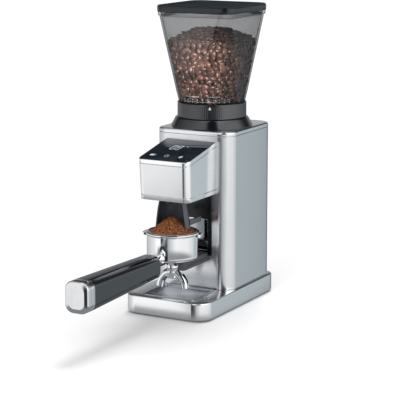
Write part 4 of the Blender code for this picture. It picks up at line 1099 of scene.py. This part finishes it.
def make_cup():
    top, bore = cup_high.z, 32.7
    rim, radius, bottom, curve = 36.5, 35.4, 79.5, 4.0
    shank, shank_bore, shank_low, floor = 8.0, 4.6, 66.0, 82.5
    profile = [(rim - 0.5, top), (rim - 0.1, top - 0.2), (rim, top - 0.6), (rim, top - 2.3),
               (rim - 0.3, top - 3.0), (radius, top - 3.7), (radius, 86.0), (radius - 0.3, 84.2)]
    profile += [(radius - curve + curve * math.cos(math.radians(a)),
                 bottom + curve - curve * math.sin(math.radians(a))) for a in (15, 30, 45, 60, 75)]
    profile += [(31.0, bottom), (10.6, bottom), (9.4, bottom - 0.4), (8.4, bottom - 1.6),
                (shank, bottom - 3.0), (shank, 66.4), (7.6, shank_low), (shank_bore, shank_low),
                (shank_bore, floor), (bore - 3.0, floor), (bore - 0.6, 83.6), (bore, 86.0),
                (bore, top - 0.3), (bore + 0.3, top)]
    lugs = []
    for turn in (LUG_TURN, LUG_TURN + math.pi):
        c, s = math.cos(turn), math.sin(turn)

        def lug(inset):
            shape = rectangle(33.5, 41.3 - inset, -8.0 + inset, 8.0 - inset, (3.2, 0.6, 0.6, 3.2), 6)
            return [(c * a - s * b, CUP_Y + s * a + c * b) for a, b in shape]
        lugs.append(stack(layers(lug, [(0.5, 111.2), (0.0, 111.7), (0.0, 115.1), (0.5, 115.6)])))
    piece("cup", turned(profile, CUP, closed=True, steps=128), "chrome", "portafilter",
          "portafilter_cup", slot="chrome", joins=lugs)
    grip_front = grip_high.y
    inside = CUP_Y - radius + 1.8
    profile = [(7.6, inside), (7.2, inside - 1.2), (5.9, inside - 2.6), (5.0, inside - 5.0),
               (4.9, inside - 8.0), (5.4, grip_front + 9.0), (7.4, grip_front + 6.6),
               (7.8, grip_front + 5.4), (7.8, grip_front + 2.6), (6.6, grip_front + 1.4),
               (6.2, grip_front + 0.3), (4.0, grip_front + 0.3), (4.0, grip_front - 38.0)]
    piece("cup_neck", turned_along_y(profile, 0.0, NECK_Z), "chrome", "portafilter", slot="chrome")
    low, high = basket_low.z, basket_high.z
    inner, wall = 32.2, 0.7
    profile = [(inner - 3.0, low), (inner - 0.6, low + 1.8), (inner, low + 4.0), (inner, high - 0.8),
               (34.2, high - 0.8), (34.6, high - 0.6), (34.6, high - 0.2), (34.3, high), (inner + 0.4, high),
               (inner - wall + 0.1, high - 0.3), (inner - wall, high - 1.0), (inner - wall, low + 4.2),
               (inner - 1.3, low + 2.2), (inner - 3.4, low + 0.8)]
    piece("filter_basket", turned(profile, CUP, steps=128), "basket_steel", "portafilter",
          "portafilter_basket", slot="basket_steel")


def make_spouts():
    """Hub with two channels that curve out and down, slit open along one side."""
    low, high = span("portafilter_spout")
    hub_low, hub_high = 51.5, high.z
    profile = [(5.0, hub_low), (7.0, hub_low + 0.2), (7.9, hub_low + 0.9), (8.4, hub_low + 2.0),
               (8.4, hub_high - 3.4), (8.0, hub_high - 2.8), (8.0, hub_high - 2.0), (8.3, hub_high - 1.4),
               (8.3, hub_high - 0.4), (7.9, hub_high)]
    arms = []
    for side in (-1, 1):
        path = curve_through([(side * x, CUP_Y, z) for x, z in ((2.0, 59.0), (6.0, 58.8), (10.5, 56.5),
                                                                (14.5, 52.3), (17.8, 47.0), (20.0, low.z))])
        sections, last = [], len(path) - 1
        middle = side * math.pi / 2
        for i in range(len(path)):
            share = i / last
            size, wall = 6.0 - 0.5 * share, 1.3
            opening = math.radians(30.0 * min(1.0, max(0.0, (share - 0.25) / 0.25)))
            section = []
            for r, order in ((size, range(21)), (size - wall, range(20, -1, -1))):
                for k in order:
                    angle = middle + opening + 0.04 + (2 * math.pi - 2 * opening - 0.08) * k / 20
                    section.append((r * math.cos(angle), r * math.sin(angle)))
            sections.append(section)
        arms.append(stack(sweep(path, sections)))
    piece("spout_hub", turned(profile, CUP, steps=64), "chrome", "portafilter",
          "portafilter_spout", slot="chrome", holes=[turned([(4.6, 58.5), (4.6, 70.0)], CUP, steps=32)])
    for name, arm in zip(("left", "right"), arms):
        piece("spout_channel_" + name, arm, "chrome", "portafilter", slot="chrome")


def grip_outline(share, inset):
    """Rounded section of the handle: share runs from 0 at the neck to 1 at the end."""
    half = 15.5 + 2.1 * share - inset
    low, high = 63.5 - 5.2 * share + inset, 96.4 + 3.2 * share - inset
    return block(half, low, high, max(11.0 + 0.5 * share - inset * 0.6, 1.0), 12)


def make_handle():
    start, end = grip_high.y, cap_high.y
    rings = [upright(grip_outline(0.0, 8.2), start - 0.6), upright(grip_outline(0.0, 5.0), start)]
    quarter = [math.pi / 2 * i / 7 for i in range(8)]
    rings += [upright(grip_outline(0.02, 4.2 * (1 - math.sin(a))), start - 0.3 - 4.8 * (1 - math.cos(a)))
              for a in quarter]
    length = end + GAP + 0.6 - start + 5.1
    rings += [upright(grip_outline(0.02 + 0.98 * share, 0.0), start - 5.1 + length * share)
              for share in (0.25, 0.5, 0.75, 1.0)]
    rings += [upright(grip_outline(1.0, 0.5), end + GAP)]
    bore = turned_along_y([(4.3, start + 5.0), (4.3, start - 39.5)], 0.0, NECK_Z, steps=32)
    piece("grip", stack(rings), "grip_black", "portafilter", "portafilter_grip", slot="grip_black",
          holes=[bore])
    front = cap_low.y
    rings = [upright(grip_outline(1.0, inset), y) for inset, y in (
        (0.5, end), (0.0, end - 0.5), (0.0, end - 5.0), (0.35, end - 5.4), (0.0, end - 5.8),
        (0.0, front + 2.8), (0.2, front + 1.8), (0.6, front + 1.1), (1.1, front + 0.7),
        (1.5, front + 0.5), (1.7, front + 0.47), (5.2, front + 0.07), (5.4, front + 0.05),
        (5.8, front), (6.1, front), (12.0, front))]
    piece("grip_cap", stack(rings), "cap_chrome", "portafilter", "portafilter_cap", slot="chrome")


# how far the open side of the heap lies below its top, by distance from the middle
MOUND_DROP = ((0.0, 0.0), (3.0, 0.5), (6.0, 1.7), (11.5, 4.8), (16.5, 8.3), (22.0, 12.4), (26.0, 15.4),
              (31.0, 19.2))


def mound_drop(r):
    for (r0, d0), (r1, d1) in zip(MOUND_DROP, MOUND_DROP[1:]):
        if r <= r1:
            return d0 + (d1 - d0) * (r - r0) / (r1 - r0)
    return MOUND_DROP[-1][1]


def make_grounds():
    """Heap of ground coffee: a cone in front, kept inside the guard behind."""
    rng = random.Random(11)
    foot, top, reach = 117.6, 137.0, 30.6
    bound, rise = 21.4, 4.6                   # reach and height of the low outer slope inside the guard
    rings, around, steps, crumbs = [], 120, 34, 1500
    for layer in range(steps + 1):
        share = layer / steps
        ring = []
        for i in range(around):
            angle = 2 * math.pi * i / around
            front = max(0.0, min(1.0, (-math.sin(angle) - 0.05) / 0.35))
            front = front * front * (3 - 2 * front)
            r = reach * (1 - share)
            cone = top - mound_drop(r)
            if r > bound:
                kept = foot + rise * (reach - r) / (reach - bound)
            else:
                kept = foot + rise + (top - foot - rise) * ((bound - r) / bound) ** 0.85
            z = kept + (cone - kept) * front
            x, y = r * math.cos(angle), r * math.sin(angle)
            lump = (noise.noise(Vector((x, y, 0.0)) * 0.16) * 0.9
                    + noise.noise(Vector((x, y, 5.0)) * 0.5) * 0.7)
            grit = noise.noise(Vector((x, y, 9.0)) * 1.3) * 0.55
            fade = min(1.0, (reach - r) / 2.0) if r > bound or front < 0.5 else 1.0
            ring.append((x, CUP_Y + y, z + (lump + grit) * fade - 0.3 * front))
        if layer == steps:
            ring = flat(circle(0.01, CUP, around), top - 0.2)
        rings.append(ring)
    under = [flat(circle(radius, CUP, around), z)
             for radius, z in ((27.5, 94.0), (30.9, 97.2), (30.9, 116.6))]
    bm = stack(under + rings)
    surface = [point for ring in rings[1:-1] for point in ring]
    for _ in range(crumbs):
        x, y, z = rng.choice(surface)
        size = rng.uniform(0.25, 0.75)
        shape = bmesh.ops.create_icosphere(bm, subdivisions=1, radius=size)
        stretch = Vector((rng.uniform(0.7, 1.3), rng.uniform(0.7, 1.3), rng.uniform(0.5, 0.9)))
        for vertex in shape["verts"]:
            vertex.co = Vector((vertex.co.x * stretch.x + x + rng.uniform(-0.05, 0.05),
                                vertex.co.y * stretch.y + y, vertex.co.z * stretch.z + z + 0.1))
    piece("grounds_heap", bm, "grounds_skin", "portafilter", "ground_coffee", slot="ground_coffee",
          angle=60)


# ---- stage ----
def aim(made, place, direction):
    made.location = place
    made.rotation_mode = 'QUATERNION'
    made.rotation_quaternion = Vector(direction).to_track_quat('-Z', 'Y')


def make_camera():
    """Camera at the right of the front, a little above the object."""
    data = bpy.data.cameras.new("camera")
    data.lens, data.sensor_width = 138.95, 36.0
    data.clip_start, data.clip_end = 0.05, 50.0
    camera = add_object("camera", data)
    aim(camera, (1.02550, -1.76433, 0.57570), (-0.471976, 0.859208, -0.197487))
    bpy.context.scene.camera = camera


def make_lamp(name, kind, place, target, power, only=(), **settings):
    """Lamp aimed at a target, in metres; with a list of objects it lights only those."""
    data = bpy.data.lights.new(name, kind)
    data.energy = power
    for key, value in settings.items():
        setattr(data, key, value)
    lamp = add_object(name, data)
    aim(lamp, place, Vector(target) - Vector(place))
    lamp.visible_glossy = bool(only)
    if only:
        lit = bpy.data.collections.new(name + "_lights")
        for ob in only:
            lit.objects.link(ob)
        lamp.light_linking.receiver_collection = lit


def make_floor():
    bm = bmesh.new()
    bmesh.ops.create_grid(bm, x_segments=2, y_segments=2, size=8000.0)
    ground = make_mesh("studio_floor", bm)
    paint = Finish("studio_paint", (0.88, 0.88, 0.88), 0.9)
    paint.set("Specular IOR Level", 0.0)
    ground.data.materials.append(paint.material)
    ground.visible_glossy = False


# Light of the studio as reflections see it, by compass angle in degrees: 0 is the front, 90 the right.
# LEVEL is the band that upright walls reflect, a little below the horizon; RAISED is everything above it.
LEVEL = ((-180, .25, .26, .28), (-160, .22, .23, .25), (-140, .28, .29, .31), (-118, .55, .56, .58),
         (-92, .66, .67, .68), (-59, .86, .865, .87), (-45, 1.1, 1.1, 1.1), (-27, 1.13, 1.135, 1.14),
         (-23, .03, .03, .04), (-12, .03, .03, .04), (-4, .10, .10, .11), (6, .18, .19, .20),
         (12, .50, .52, .54), (28, .74, .76, .78), (40, .93, .94, .96), (48, 1., 1., 1.),
         (80, .95, .95, .96), (100, .92, .93, .94), (116, .82, .84, .86), (134, .68, .72, .74),
         (146, .47, .53, .56), (155, .45, .51, .54), (164, .22, .24, .26), (180, .22, .23, .25))
RAISED = ((-180, .44, .46, .48), (-150, .44, .46, .48), (-120, .46, .47, .49), (-75, .45, .46, .47),
          (-46, .75, .77, .80), (-26, 1.05, 1.08, 1.1), (-4, 1.05, 1.08, 1.1), (3, .85, .87, .9),
          (9, .40, .41, .43), (13, .01, .01, .02), (44, .01, .01, .02), (49, .15, .16, .18),
          (55, 1.6, 1.62, 1.65), (75, 1.6, 1.63, 1.65), (99, 1.5, 1.53, 1.55), (121, 1.2, 1.23, 1.25),
          (136, .8, .83, .86), (150, .62, .66, .68), (165, .5, .52, .54), (180, .44, .46, .48))


def make_world():
    world = bpy.data.worlds.new("studio")
    bpy.context.scene.world = world
    world.use_nodes = True
    world.cycles.sampling_method = 'NONE'
    world.node_tree.nodes.clear()
    sky = Nodes(world.node_tree)
    place = sky.node("ShaderNodeTexCoord").outputs["Generated"]
    x, y, z = sky.node("ShaderNodeSeparateXYZ", {0: place}).outputs
    compass = sky.math('ARCTAN2', x, sky.math('MULTIPLY', y, -1.0))
    turn = sky.math('MULTIPLY_ADD', compass, 1 / (2 * math.pi), 0.5)
    level, raised = (sky.ramp(turn, [((angle + 180) / 360, *colour) for angle, *colour in stops])
                     for stops in (LEVEL, RAISED))
    height = sky.math('MULTIPLY_ADD', z, 0.5, 0.5)
    # behind the object the studio is dark above a low horizon and lit again overhead
    behind = sky.ramp(height, [(0.0, 1.0), (0.585, 1.0), (0.64, 0.22), (0.68, 0.13), (0.80, 0.13),
                               (0.90, 0.9), (1.0, 1.6)])
    before = sky.ramp(height, [(0.0, 1.0), (0.80, 1.0), (0.90, 0.8), (1.0, 1.6)])
    is_front = sky.ramp(turn, [(0.20, 0.0), (0.30, 1.0), (0.86, 1.0), (0.92, 0.0)])
    upper = sky.mix(1.0, raised, sky.mix(is_front, behind, before), 'MULTIPLY')
    studio = sky.mix(sky.ramp(height, [(0.47, 0.0), (0.53, 1.0)]), level, upper)
    # the dark reaches higher just left of the front, where the hopper's front wall looks
    notch = sky.ramp(turn, [(0.376, 0.0), (0.388, 1.0), (0.428, 1.0), (0.440, 0.0)])
    raised_floor = sky.math('MULTIPLY_ADD', notch, -0.022, height)
    below = sky.ramp(raised_floor, [(0.0, 1.0), (0.325, 1.0), (0.342, 0.0)])
    with_floor = sky.mix(below, studio, (0.29, 0.30, 0.31))
    rays = sky.node("ShaderNodeLightPath").outputs
    ambient = sky.mix(rays["Is Camera Ray"], (0.80, 0.80, 0.81), (1.0, 1.0, 1.0))
    seen = sky.mix(rays["Is Glossy Ray"], ambient, with_floor)
    background = sky.node("ShaderNodeBackground", {"Color": seen})
    sky.node("ShaderNodeOutputWorld", {"Surface": background.outputs[0]})


def make_bean_lamps():
    beans = [bpy.data.objects["bean_heap_sides"], bpy.data.objects["bean_heap_top"]]
    make_lamp("bean_glint", 'AREA', (0.05, -0.55, 0.62), (0.005, 0.09, 0.345), 0.9, beans,
              shape='DISK', size=0.12, color=(1.0, 0.88, 0.80))
    make_lamp("bean_glow", 'SPOT', (0.33, -0.75, 0.42), (0.012, 0.09, 0.336), 100.0, beans,
              spot_size=math.radians(7.4), spot_blend=1.0, shadow_soft_size=0.02, color=(1.0, 0.78, 0.68))


def make_stage():
    make_camera()
    make_world()
    make_floor()
    make_lamp("key", 'SUN', (-0.05, 0.5, 1.0), (0.0, 0.0, 0.0), 1.3, angle=math.radians(24))
    make_lamp("front_fill", 'AREA', (0.2, -1.7, 1.1), (0.0, 0.1, 0.3), 9.0, shape='DISK', size=0.8)
    view = bpy.context.scene.view_settings
    view.view_transform, view.look = 'Standard', 'None'


for make in (make_stage, dress_cad_nodes, make_base, make_tray, make_column, make_head, make_display,
             make_bay, make_fork, make_guard, make_ring, make_hopper, make_scale, make_lid, make_beans,
             make_bean_lamps, make_cup, make_spouts, make_handle, make_grounds):
    make()
